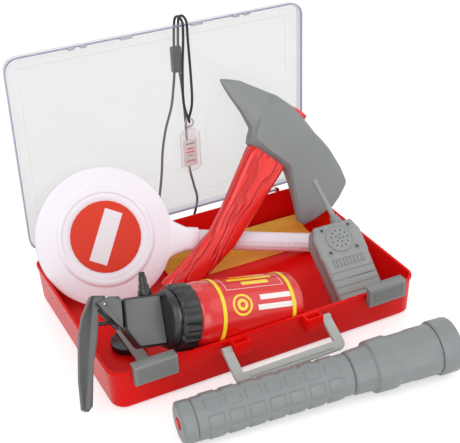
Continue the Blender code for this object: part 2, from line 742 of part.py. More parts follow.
def make_latch(name, hand):
    """One latch: a front plate with a hook over the rim, and a cheek at each end that turns on the pin."""
    axis = Vector((hand * latch_place, latch_axis.y, latch_axis.z))
    frame = make_frame(name + "_axis", Matrix.Translation(axis))
    front = latch_front_y
    inner = latch_front_y + LATCH_THICKNESS
    top = latch_low_z + LATCH_HEIGHT
    chamfer = LATCH_PLATE / 2
    outline = ((front, latch_low_z), (inner, latch_low_z), (inner, top - LATCH_PLATE),
               (inner + LATCH_HOOK, top - LATCH_PLATE), (inner + LATCH_HOOK, top),
               (front + chamfer, top), (front, top - chamfer))
    mesh = flat_mesh(outline, LATCH_WIDTH)
    mesh.transform(Matrix(((0, 0, 1, axis.x), (1, 0, 0, 0), (0, 1, 0, 0), (0, 0, 0, 1))))
    latch = add_piece(name, mesh, frame, axis)
    hollow = bmesh.new()
    hollow_depth = LATCH_THICKNESS - LATCH_PLATE + CUT_OVERRUN
    hollow_height = LATCH_HEIGHT - LATCH_PLATE + CUT_OVERRUN
    add_block(hollow, (LATCH_WIDTH - 2 * LATCH_CHEEK, hollow_depth, hollow_height),
              (axis.x, front + LATCH_PLATE + hollow_depth / 2, top - LATCH_PLATE - hollow_height / 2))
    hollow = add_piece(name + "_hollow", hollow, frame, axis, cutters)
    combine(latch, hollow, "DIFFERENCE")
    bore = bmesh.new()
    add_rod(bore, LATCH_PIN_RADIUS + CLEARANCE, LATCH_WIDTH + CUT_OVERRUN, axis, (1, 0, 0))
    bore = add_piece(name + "_bore", bore, frame, axis, cutters)
    combine(latch, bore, "DIFFERENCE")
    panel = bmesh.new()
    add_block(panel, (LATCH_WIDTH - 2 * LATCH_CHEEK, LATCH_PLATE / 3 + CUT_OVERRUN, LATCH_HEIGHT - 3 * LATCH_PLATE),
              (axis.x, front + LATCH_PLATE / 3 - (LATCH_PLATE / 3 + CUT_OVERRUN) / 2, (latch_low_z + top) / 2))
    panel = add_piece(name + "_panel", panel, frame, axis, cutters)
    combine(latch, panel, "DIFFERENCE")
    give_material(latch, GREY, 0.4)
    return latch


def make_handle():
    """The U handle. Its frame stands on the pivot axis, with +Y along the legs, which hang forward and down."""
    droop = math.radians(HANDLE_DROOP)
    along = Vector((0, -math.cos(droop), -math.sin(droop)))
    normal = Vector((1, 0, 0)).cross(along)
    frame = make_frame("handle_axis", axes_matrix((0, handle_axis_y, handle_axis_z), (1, 0, 0), normal))
    inner_end = HANDLE_REACH - HANDLE_BAR / 2
    outer_end = HANDLE_REACH + HANDLE_BAR / 2
    outline = [(leg_inner, 0), (leg_outer, 0)]
    for step in range(4):
        angle = math.radians(90 * step / 3)
        outline.append((leg_outer - HANDLE_CORNER * (1 - math.cos(angle)),
                        outer_end - HANDLE_CORNER * (1 - math.sin(angle))))
    outline = outline + [(-x, y) for x, y in reversed(outline)]
    outline += [(-leg_inner, inner_end), (leg_inner, inner_end)]
    handle = add_piece("bail_handle", flat_mesh(outline, HANDLE_THICKNESS), frame)
    added = bmesh.new()
    for hand in (-1, 1):
        add_rod(added, HANDLE_EYE_RADIUS, HANDLE_BAR, (hand * (leg_inner + HANDLE_BAR / 2), 0, 0), (1, 0, 0), 16)
    ridge_length = 2 * leg_inner - HANDLE_BAR
    add_block(added, (ridge_length, HANDLE_RIDGE_WIDTH, HANDLE_THICKNESS + 2 * HANDLE_RIDGE_HEIGHT),
              (0, HANDLE_REACH, 0))
    added = add_piece("handle_additions", added, frame, collection=cutters)
    combine(handle, added, "UNION")
    bore = bmesh.new()
    add_rod(bore, HANDLE_PIN_RADIUS + CLEARANCE, 2 * leg_outer + CUT_OVERRUN, (0, 0, 0), (1, 0, 0))
    bore = add_piece("handle_bore", bore, frame, collection=cutters)
    combine(handle, bore, "DIFFERENCE")
    give_material(handle, GREY, 0.4)
    return handle


def make_loose_pieces():
    """The paper sheet, and the spare strip on its cap."""
    back = CASE_DEPTH / 2 - CASE_DRAFT - CASE_WALL - BOTTOM_FILLET - SHEET_THICKNESS
    level = CASE_FLOOR + CLEARANCE
    lower = [(back - SHEET_DEPTH, level), (back - 0.45 * SHEET_DEPTH, level + 0.05 * SHEET_RISE),
             (back - 0.2 * SHEET_DEPTH, level + 0.3 * SHEET_RISE), (back, level + SHEET_RISE)]
    upper = [(y, z + SHEET_THICKNESS) for y, z in reversed(lower)]
    mesh = flat_mesh(lower + upper, SHEET_LENGTH)
    mesh.transform(Matrix(((0, 0, 1, SHEET_PLACE), (1, 0, 0, 0), (0, 1, 0, 0), (0, 0, 0, 1))))
    sheet = add_piece("paper_sheet", mesh)
    give_material(sheet, YELLOW, 0.6)
    middle = Vector((-0.697 * CASE_WIDTH / 2, -0.21 * CASE_DEPTH / 2, level))
    profile = ((0, CAP_HEIGHT), (CAP_RADIUS, CAP_HEIGHT), (CAP_RADIUS, 0), (CAP_RADIUS - CAP_WALL, 0),
               (CAP_RADIUS - CAP_WALL, CAP_HEIGHT - CAP_WALL), (0, CAP_HEIGHT - CAP_WALL))
    cap = turned("spare_cap", profile, base=Matrix.Translation(middle))
    give_material(cap, BLACK, 0.35)
    mesh = bmesh.new()
    add_block(mesh, (STRIP_WIDTH, STRIP_LENGTH, STRIP_THICKNESS),
              (middle.x, middle.y - 0.27 * STRIP_LENGTH, level + CAP_HEIGHT + CLEARANCE + STRIP_THICKNESS / 2))
    strip = add_piece("spare_strip", mesh)
    bevel(strip, 0.25 * STRIP_THICKNESS)
    give_material(strip, GREY, 0.4)


def make_paddle(tray):
    """The paddle. Its frame has +X along the grip and +Z out of the face that looks to the front."""
    frame = make_frame("paddle_frame", axes_matrix(case_place(PADDLE_PLACE_shares), PADDLE_ALONG, PADDLE_FACE))
    half = DISC_THICKNESS / 2
    ring = DISC_RING_RADIUS
    rise = DISC_RING_HEIGHT
    half_profile = ((LABEL_RADIUS + CLEARANCE, half - LABEL_THICKNESS), (LABEL_RADIUS + CLEARANCE, half),
                    (ring - 2 * rise, half + 0.5 * rise), (ring, half + rise), (ring + 2 * rise, half),
                    (DISC_RADIUS - 2 * DISC_EDGE_DROP, half - DISC_EDGE_DROP),
                    (DISC_RADIUS, half - 2 * DISC_EDGE_DROP))
    profile = [(0, half - LABEL_THICKNESS), *half_profile]
    profile += [(radius, -height) for radius, height in reversed(profile)]
    disc = turned("paddle_disc", profile, frame, steps=40)
    slot = bmesh.new()
    slot_size = (2 * (DISC_RADIUS - NECK_START), NECK_WIDE + 2 * CLEARANCE, DISC_THICKNESS + 2 * CUT_OVERRUN)
    add_block(slot, slot_size, (DISC_RADIUS, 0, 0))
    slot = add_piece("disc_slot", slot, frame, collection=cutters)
    combine(disc, slot, "DIFFERENCE")
    give_material(disc, WHITE, 0.35)
    for name, side in (("label_front", 1), ("label_back", -1)):
        mesh = bmesh.new()
        add_rod(mesh, LABEL_RADIUS, LABEL_THICKNESS, (0, 0, side * (half - LABEL_THICKNESS / 2 + CLEARANCE)),
                (0, 0, 1), 32)
        label = add_piece(name, mesh, frame)
        give_material(label, ORANGE_RED, 0.4)
    rings = []
    for along, width, thickness in ((NECK_START + CLEARANCE, NECK_WIDE, DISC_THICKNESS),
                                    (NECK_START + 0.3 * NECK_LENGTH, 0.78 * NECK_WIDE, 0.7 * NECK_THICKNESS),
                                    (NECK_START + NECK_LENGTH, COLLAR_WIDTH, NECK_THICKNESS + 4 * CASE_WALL),
                                    (COLLAR_END, COLLAR_WIDTH, NECK_THICKNESS + 4 * CASE_WALL)):
        rings.append([(along, y, z) for y, z in superellipse(width, thickness, 4.0, 16)])
    neck = add_piece("paddle_neck", loft(rings), frame)
    bore = bmesh.new()
    bore_length = COLLAR_END - GRIP_START + CUT_OVERRUN
    add_rod(bore, GRIP_RADIUS + CLEARANCE, bore_length,
            (GRIP_START - CLEARANCE + bore_length / 2, 0, 0), (1, 0, 0), ROUND_STEPS)
    bore = add_piece("neck_bore", bore, frame, collection=cutters)
    combine(neck, bore, "DIFFERENCE")
    smooth(neck)
    give_material(neck, WHITE, 0.35)
    points = [(GRIP_START, 0, 0), (RIBS_START, 0, 0)]
    radii = [GRIP_RADIUS, GRIP_RADIUS]
    rib_count = int((GRIP_END - GRIP_RADIUS - RIBS_START) / RIB_PITCH)
    for rib in range(rib_count):
        start = RIBS_START + RIB_PITCH * rib
        points += [(start + RIB_PITCH / 2, 0, 0), (start + RIB_PITCH, 0, 0)]
        radii += [GRIP_RADIUS - RIB_DEPTH, GRIP_RADIUS]
    points.append((GRIP_END, 0, 0))
    radii.append(GRIP_RADIUS)
    grip = add_piece("paddle_grip", tube_mesh(points, GRIP_RADIUS, GRIP_SIDES_RESOLUTION, radii), frame)
    bore = bmesh.new()
    add_rod(bore, GRIP_BORE, GRIP_END - GRIP_START + CUT_OVERRUN, ((GRIP_START + GRIP_END) / 2, 0, 0), (1, 0, 0),
            ROUND_STEPS)
    bore = add_piece("grip_bore", bore, frame, collection=cutters)
    combine(grip, bore, "DIFFERENCE")
    smooth(grip, 50)
    give_material(grip, WHITE, 0.35)
    profile = ((0, GRIP_CAP_LENGTH), (0.8 * GRIP_RADIUS, GRIP_CAP_LENGTH), (GRIP_RADIUS, 0.7 * GRIP_CAP_LENGTH),
               (GRIP_RADIUS, CLEARANCE), (GRIP_BORE - 2 * CLEARANCE, CLEARANCE),
               (GRIP_BORE - 2 * CLEARANCE, -GRIP_CAP_LENGTH), (0, -GRIP_CAP_LENGTH))
    turn = Matrix.Translation((GRIP_END, 0, 0)) @ Matrix.Rotation(math.radians(90), 4, "Y")
    end_cap = turned("grip_end_cap", profile, frame, base=turn)
    give_material(end_cap, WHITE, 0.35)
    toy = [disc, neck, grip, end_cap]
    settle(frame, toy, [tray])
    return frame, toy


# Sections of the axe head along its length: place, underside, top, thickness and depth of the side bevel.
# Places are shares of the head's length, heights are shares of its height at the socket, from the mouth up.
AXE_SECTION_shares = (
    (-0.458, 0.652, 0.689, 0.11, 0.40), (-0.415, 0.583, 0.765, 0.25, 0.42), (-0.358, 0.515, 0.848, 0.39, 0.42),
    (-0.255, 0.402, 0.914, 0.57, 0.40), (-0.165, 0.260, 0.977, 0.71, 0.36), (-0.132, 0.000, 1.000, 0.93, 0.12),
    (0.000, 0.000, 1.010, 1.00, 0.08), (0.132, 0.000, 0.910, 0.96, 0.08), (0.150, -0.020, 0.895, 0.82, 0.07),
    (0.208, -0.167, 0.858, 0.62, 0.06), (0.264, -0.333, 0.833, 0.48, 0.06), (0.335, -0.561, 0.782, 0.35, 0.05),
    (0.368, -0.674, 0.742, 0.29, 0.05), (0.415, -0.674, 0.682, 0.22, 0.05), (0.462, -0.485, 0.620, 0.16, 0.05),
    (0.533, -0.090, 0.485, 0.09, 0.06), (0.545, 0.120, 0.420, 0.06, 0.10))
# Sections of the handle: height as a share of the mouth's height, offset, width and thickness as shares.
AXE_HANDLE_shares = (
    (-0.732, -0.75, 0.50, 0.60), (-0.705, -0.74, 0.80, 0.88), (-0.660, -0.70, 0.92, 0.98), (-0.520, -0.50, 0.93, 1.00),
    (-0.270, -0.27, 0.94, 1.00), (0.000, -0.04, 1.00, 1.00), (0.270, 0.00, 1.09, 1.00), (0.530, 0.00, 1.23, 1.04),
    (0.800, 0.00, 1.38, 1.08), (0.960, 0.00, 1.48, 1.10))


def make_axe(parent, support):
    """The axe lies over the paddle's grip. Its frame has +X to the blade, +Y up the handle and +Z to the front."""
    up = Vector(AXE_UP)
    face = Vector(AXE_FACE)
    matrix = axes_matrix(case_place(AXE_PLACE_shares), up.cross(face), face)
    bpy.context.view_layer.update()
    frame = make_frame("axe_frame", parent.matrix_world.inverted() @ matrix, parent)
    rings = []
    for place, low, high, thickness, bevel_share in AXE_SECTION_shares:
        x = place * AXE_HEAD_LENGTH
        bottom = AXE_MOUTH + low * AXE_HEAD_HEIGHT
        top = AXE_MOUTH + high * AXE_HEAD_HEIGHT
        half = thickness * AXE_HEAD_THICKNESS / 2
        edge = bevel_share * (top - bottom)
        rings.append([(x, bottom, -half / 2), (x, bottom + edge, -half), (x, top - edge, -half), (x, top, -half / 2),
                      (x, top, half / 2), (x, top - edge, half), (x, bottom + edge, half), (x, bottom, half / 2)])
    head = add_piece("axe_head", loft(rings), frame)
    rings = []
    for height, offset, width, thickness in AXE_HANDLE_shares:
        ring = superellipse(width * AXE_HANDLE_WIDTH, thickness * AXE_HANDLE_THICKNESS,
                            AXE_SECTION_SQUARENESS, AXE_HANDLE_SIDES)
        rings.append([(across + offset * AXE_HANDLE_WIDTH, height * AXE_MOUTH, deep) for across, deep in ring])
    shoulder = AXE_MOUTH - CLEARANCE
    last = AXE_HANDLE_shares[-1]
    wide = superellipse(last[2] * AXE_HANDLE_WIDTH, last[3] * AXE_HANDLE_THICKNESS,
                        AXE_SECTION_SQUARENESS, AXE_HANDLE_SIDES)
    rings.append([(across, shoulder, deep) for across, deep in wide])
    for height in (shoulder, shoulder + AXE_TENON_LENGTH):
        tenon = superellipse(AXE_TENON_WIDTH, AXE_TENON_THICKNESS, AXE_SECTION_SQUARENESS, AXE_HANDLE_SIDES)
        rings.append([(AXE_TENON_PLACE + across, height, deep) for across, deep in tenon])
    handle = add_piece("axe_handle", loft(rings), frame)
    smooth(handle, 50)
    give_material(handle, RED, 0.3)
    eye = superellipse(AXE_TENON_WIDTH + 2 * CLEARANCE, AXE_TENON_THICKNESS + 2 * CLEARANCE,
                       AXE_SECTION_SQUARENESS, AXE_HANDLE_SIDES)
    levels = (AXE_MOUTH - 2 * CUT_OVERRUN, AXE_MOUTH + AXE_HEAD_HEIGHT + 2 * CUT_OVERRUN)
    cut = loft([[(AXE_TENON_PLACE + across, level, deep) for across, deep in eye] for level in levels])
    cut = add_piece("axe_eye", cut, frame, collection=cutters)
    combine(head, cut, "DIFFERENCE")
    smooth(head, 25)
    give_material(head, GREY, 0.45)
    toy = [head, handle]
    settle(frame, toy, support)
    return frame, toy


def fluted_ring(radius, flute, count, level):
    """A ring of points that steps in and out around the axis."""
    points = []
    for index in range(4 * count):
        reach = radius if index % 4 < 2 else radius - flute
        angle = 2 * math.pi * (index + 0.5) / (4 * count)
        points.append((reach * math.cos(angle), reach * math.sin(angle), level))
    return points


# Outline of the pump's block: along the bottle from the flange, and across, as shares of its length and width
PUMP_BLOCK_shares = ((0.02, 0.50), (0.95, 0.49), (1.00, -0.09), (0.70, -0.50), (0.02, -0.50))
# Outline of the cheeks that hold the lever, as shares of their length, from the block's end
CHEEK_shares = ((0.00, 0.99), (0.10, 1.12), (0.50, 1.15), (1.08, 0.94), (0.17, -0.14), (0.09, -0.16))
# Outline of the lever about its pivot, as shares of its length: along the bottle, and across it
LEVER_shares = (
    (0.092, 0.089), (-0.028, 0.078), (-0.032, 0.018), (-0.032, -0.018), (0.009, -0.034), (0.060, -0.041),
    (0.073, -0.172), (0.110, -0.330), (0.170, -0.509), (0.236, -0.874), (0.282, -0.913), (0.317, -0.889),
    (0.305, -0.640), (0.266, -0.361), (0.240, -0.220), (0.193, -0.081))


def make_extinguisher(support):
    """The extinguisher. Its frame has +Z along the bottle to the pump and +X towards the nozzle."""
    along = Vector(BOTTLE_ALONG).normalized()
    level = Vector((0, 0, 1)).cross(along).normalized()
    level = level if level.y > 0 else -level
    rising = along.cross(level)
    rising = rising if rising.z > 0 else -rising
    roll = math.radians(BOTTLE_ROLL)
    nozzle_way = level * math.cos(roll) + rising * math.sin(roll)
    frame = make_frame("extinguisher_frame", axes_matrix(case_place(BOTTLE_PLACE_shares), nozzle_way, along))
    shoulder = BOTTLE_BODY + BOTTLE_SHOULDER
    mouth = shoulder + BOTTLE_NECK_LENGTH
    wall = BOTTLE_WALL
    outer = [(BOTTLE_MOUTH_RADIUS, mouth), (BOTTLE_NECK_RADIUS, mouth), (BOTTLE_NECK_RADIUS, shoulder)]
    outer += [(BOTTLE_RADIUS - 2 * wall, shoulder), (BOTTLE_RADIUS - wall, shoulder - BOTTLE_SHOULDER / 2),
              (BOTTLE_RADIUS, BOTTLE_BODY), (BOTTLE_RADIUS, BOTTLE_BOTTOM_FILLET)]
    for step in range(1, 4):
        angle = math.radians(90 * step / 3)
        outer.append((BOTTLE_RADIUS - BOTTLE_BOTTOM_FILLET * (1 - math.cos(angle)),
                      BOTTLE_BOTTOM_FILLET * (1 - math.sin(angle))))
    inner = [(0, wall), (BOTTLE_RADIUS - BOTTLE_BOTTOM_FILLET, wall), (BOTTLE_RADIUS - wall, BOTTLE_BOTTOM_FILLET),
             (BOTTLE_RADIUS - wall, BOTTLE_BODY), (BOTTLE_MOUTH_RADIUS, shoulder)]
    bottle = turned("bottle", [*outer, (0, 0), *inner], frame, steps=32, ring=True)
    give_material(bottle, RED, 0.2)
    bands = []
    for name, start in (("band_low", BAND_LOW), ("band_high", BAND_HIGH)):
        inside = BOTTLE_RADIUS + CLEARANCE
        outside = inside + BAND_THICKNESS
        profile = ((outside, start + BAND_WIDTH), (outside, start), (inside, start), (inside, start + BAND_WIDTH))
        band = turned(name, profile, frame, steps=32, ring=True)
        give_material(band, YELLOW, 0.3)
        bands.append(band)

    cap_base = shoulder + 2 * CLEARANCE
    cap_end = mouth + PUMP_FLANGE_THICKNESS + 3 * CLEARANCE + SCREW_CAP_TOP
    cap_frame = make_frame("screw_cap_axis", Matrix.Translation((0, 0, cap_end)), frame)
    inside = BOTTLE_NECK_RADIUS + CLEARANCE
    levels = ((cap_base, SCREW_CAP_RADIUS), (cap_end - 2 * SCREW_CAP_FLUTE, SCREW_CAP_RADIUS),
              (cap_end, SCREW_CAP_RADIUS - 2 * SCREW_CAP_FLUTE))
    rings = [fluted_ring(radius, SCREW_CAP_FLUTE, SCREW_CAP_RIBS, height) for height, radius in levels]
    rings += [fluted_ring(SCREW_CAP_HOLE, 0, SCREW_CAP_RIBS, cap_end),
              fluted_ring(SCREW_CAP_HOLE, 0, SCREW_CAP_RIBS, cap_end - SCREW_CAP_TOP),
              fluted_ring(inside, 0, SCREW_CAP_RIBS, cap_end - SCREW_CAP_TOP),
              fluted_ring(inside, 0, SCREW_CAP_RIBS, cap_base)]
    cap = add_piece("screw_cap", loft(rings, closed=True), cap_frame, (0, 0, cap_end))
    smooth(cap, 25)
    give_material(cap, BLACK, 0.35)
    sweep = bmesh.new()
    add_rod(sweep, SCREW_CAP_RADIUS, cap_end - cap_base, (0, 0, (cap_end + cap_base) / 2), (0, 0, 1), 40)
    sweep = add_piece("screw_cap_sweep", sweep, frame, collection=cutters)

    flange = mouth + CLEARANCE
    dome = cap_end + CLEARANCE
    stem = SCREW_CAP_HOLE - CLEARANCE
    block_start = dome + PUMP_DOME_LENGTH - PUMP_EDGE
    profile = ((0, dome + PUMP_DOME_LENGTH), (0.72 * PUMP_DOME_RADIUS, dome + PUMP_DOME_LENGTH),
               (0.93 * PUMP_DOME_RADIUS, dome + 0.75 * PUMP_DOME_LENGTH), (PUMP_DOME_RADIUS, dome + 0.3 * PUMP_DOME_LENGTH),
               (PUMP_DOME_RADIUS, dome), (stem, dome), (stem, flange + PUMP_FLANGE_THICKNESS),
               (PUMP_FLANGE_RADIUS, flange + PUMP_FLANGE_THICKNESS), (PUMP_FLANGE_RADIUS, flange),
               (DIP_TUBE_RADIUS + 4 * CLEARANCE, flange), (DIP_TUBE_RADIUS + 4 * CLEARANCE, flange - PUMP_EDGE),
               (0, flange - PUMP_EDGE))
    pump = turned("pump_body", profile, frame, steps=32)
    bpy.context.view_layer.update()
    side_on = Matrix(((0, 1, 0, 0), (0, 0, -1, 0), (1, 0, 0, 0), (0, 0, 0, 1)))

    def plate(outline, thickness, start):
        """A plate whose outline is (along, across) and whose thickness runs along the frame's Y."""
        mesh = flat_mesh([(start + reach, side) for reach, side in outline], thickness)
        mesh.transform(side_on)
        bmesh.ops.recalc_face_normals(mesh, faces=mesh.faces)
        return mesh

    block = plate([(reach * PUMP_LENGTH, side * PUMP_WIDTH) for reach, side in PUMP_BLOCK_shares],
                  PUMP_THICKNESS, block_start)
    block = add_piece("pump_block", block, frame, collection=cutters)
    bevel(block, PUMP_EDGE)
    combine(pump, block, "UNION")
    block_end = block_start + PUMP_LENGTH
    nozzle_z = block_start + NOZZLE_PLACE
    chamber = bmesh.new()
    add_rod(chamber, PISTON_RADIUS + CLEARANCE, CHAMBER_LENGTH,
            (ROD_SIDE, 0, block_end - PUMP_WEB - CHAMBER_LENGTH / 2), (0, 0, 1))
    chamber = add_piece("pump_chamber", chamber, frame, collection=cutters)
    combine(pump, chamber, "DIFFERENCE")
    passage = bmesh.new()
    add_rod(passage, ROD_RADIUS + CLEARANCE, 2 * PUMP_WEB + CUT_OVERRUN, (ROD_SIDE, 0, block_end), (0, 0, 1))
    passage = add_piece("rod_passage", passage, frame, collection=cutters)
    combine(pump, passage, "DIFFERENCE")
    spout = bmesh.new()
    spout_length = PUMP_WIDTH / 2 - 2 * PUMP_EDGE
    add_rod(spout, NOZZLE_RADIUS, 2 * spout_length, (PUMP_WIDTH / 2, 0, nozzle_z), (1, 0, 0))
    spout = add_piece("spout_socket", spout, frame, collection=cutters)
    combine(pump, spout, "DIFFERENCE")
    smooth(pump, 25)
    give_material(pump, BLACK, 0.4)

    socket_end = PUMP_WIDTH / 2 - spout_length + CLEARANCE
    collar = PUMP_WIDTH / 2 + CLEARANCE
    tip = NOZZLE_REACH
    reach = tip - collar - NOZZLE_COLLAR_LENGTH
    body_radius = NOZZLE_RADIUS - CLEARANCE
    profile = ((NOZZLE_BORE, tip), (0.62 * NOZZLE_RADIUS, tip), (0.74 * NOZZLE_RADIUS, tip - 0.25 * reach),
               (0.86 * NOZZLE_RADIUS, tip - 0.30 * reach), (0.90 * NOZZLE_RADIUS, tip - 0.70 * reach),
               (1.08 * NOZZLE_RADIUS, tip - 0.74 * reach), (1.15 * NOZZLE_RADIUS, collar + NOZZLE_COLLAR_LENGTH),
               (NOZZLE_COLLAR_RADIUS, collar + 0.8 * NOZZLE_COLLAR_LENGTH), (NOZZLE_COLLAR_RADIUS, collar),
               (body_radius, collar), (body_radius, socket_end), (NOZZLE_BORE, socket_end))
    turn = Matrix.Translation((0, 0, nozzle_z)) @ Matrix.Rotation(math.radians(90), 4, "Y")
    nozzle = turned("nozzle", profile, frame, steps=16, ring=True, base=turn)
    give_material(nozzle, BLACK, 0.4)

    cheeks = plate([(share_along * PUMP_CHEEK_LENGTH, share_across * PUMP_CHEEK_LENGTH)
                    for share_along, share_across in CHEEK_shares], PUMP_THICKNESS, block_end + CLEARANCE)
    cover = add_piece("pump_cover", cheeks, frame)
    pivot_x = LEVER_PIVOT_SIDE
    pivot_z = block_start + LEVER_PIVOT_REACH
    slot = bmesh.new()
    slot_start = block_end + 2 * CLEARANCE + PUMP_WEB
    add_block(slot, (2 * PUMP_WIDTH, PUMP_SLOT, PUMP_LENGTH), (0, 0, slot_start + PUMP_LENGTH / 2))
    slot = add_piece("lever_slot", slot, frame, collection=cutters)
    combine(cover, slot, "DIFFERENCE")
    holes = bmesh.new()
    add_rod(holes, LEVER_PIN_RADIUS + CLEARANCE, PUMP_THICKNESS + CUT_OVERRUN, (pivot_x, 0, pivot_z), (0, 1, 0))
    holes = add_piece("pin_holes", holes, frame, collection=cutters)
    combine(cover, holes, "DIFFERENCE")
    combine(cover, passage, "DIFFERENCE")
    give_material(cover, BLACK, 0.4)
    mesh = bmesh.new()
    add_rod(mesh, LEVER_PIN_RADIUS, PUMP_THICKNESS, (pivot_x, 0, pivot_z), (0, 1, 0))
    pin = add_piece("lever_pin", mesh, frame)
    give_material(pin, STEEL, 0.3, metallic=1.0)

    pivot = (pivot_x, 0, pivot_z)
    lever_frame = make_frame("lever_axis", Matrix.Translation(pivot), frame)
    outline = [(share_along * LEVER_LENGTH, pivot_x + share_across * LEVER_LENGTH)
               for share_along, share_across in LEVER_shares]
    lever = add_piece("lever", plate(outline, LEVER_THICKNESS, pivot_z), lever_frame, pivot)
    bore = bmesh.new()
    add_rod(bore, LEVER_PIN_RADIUS + CLEARANCE, LEVER_THICKNESS + CUT_OVERRUN, pivot, (0, 1, 0))
    bore = add_piece("lever_bore", bore, lever_frame, pivot, cutters)
    combine(lever, bore, "DIFFERENCE")
    spring_length = SPRING_TURNS * SPRING_PITCH + 2 * SPRING_WIRE_RADIUS
    pocket = bmesh.new()
    pocket_depth = spring_length + 2 * CLEARANCE + CUT_OVERRUN
    pocket_y = LEVER_THICKNESS / 2 + CUT_OVERRUN - pocket_depth / 2
    add_rod(pocket, SPRING_POCKET_RADIUS, pocket_depth, (pivot_x, pocket_y, pivot_z), (0, 1, 0))
    pocket = add_piece("spring_pocket", pocket, lever_frame, pivot, cutters)
    combine(lever, pocket, "DIFFERENCE")
    give_material(lever, BLACK, 0.4)
    count = SPRING_TURNS * SPRING_POINTS + 1
    start_y = LEVER_THICKNESS / 2 - SPRING_WIRE_RADIUS - SPRING_TURNS * SPRING_PITCH
    turns = []
    for index in range(count):
        angle = 2 * math.pi * index / SPRING_POINTS
        turns.append((pivot_x + SPRING_RADIUS * math.cos(angle), start_y + SPRING_PITCH * index / SPRING_POINTS,
                      pivot_z + SPRING_RADIUS * math.sin(angle)))
    spring = add_piece("lever_spring", tube_mesh(turns, SPRING_WIRE_RADIUS, 1), frame)
    give_material(spring, STEEL, 0.3, metallic=1.0)

    rod_frame = make_frame("piston_axis", Matrix.Translation((ROD_SIDE, 0, block_end)), frame)
    rod_end = pivot_z + 0.0735 * LEVER_LENGTH - 3 * CLEARANCE
    rod_start = block_end - ROD_INSIDE + ROD_TRAVEL
    profile = ((0, rod_end), (ROD_RADIUS, rod_end), (ROD_RADIUS, rod_start + PISTON_LENGTH),
               (PISTON_RADIUS, rod_start + PISTON_LENGTH), (PISTON_RADIUS, rod_start), (0, rod_start))
    base = Matrix.Translation((ROD_SIDE, 0, 0))
    rod = turned("piston_rod", profile, rod_frame, (ROD_SIDE, 0, block_end), steps=SMALL_ROUND_STEPS, base=base)
    give_material(rod, BLACK, 0.4)
    top = flange - PUMP_EDGE - CLEARANCE
    profile = ((DIP_TUBE_RADIUS, top), (DIP_TUBE_RADIUS, DIP_TUBE_END), (DIP_TUBE_BORE, DIP_TUBE_END),
               (DIP_TUBE_BORE, top))
    dip = turned("dip_tube", profile, frame, steps=SMALL_ROUND_STEPS, ring=True)
    give_material(dip, CLEAR, 0.3)
    toy = [bottle, *bands, cap, sweep, pump, nozzle, cover, pin, lever, rod]
    settle(frame, toy, support)
    return frame, toy


# Half outline of the radio, from the middle of its bottom: share of the half width, share of the length
RADIO_OUTLINE_shares = ((0.90, 0.0), (0.94, 0.05), (0.97, 0.60), (1.00, 0.63), (1.00, 0.87), (0.80, 1.0))


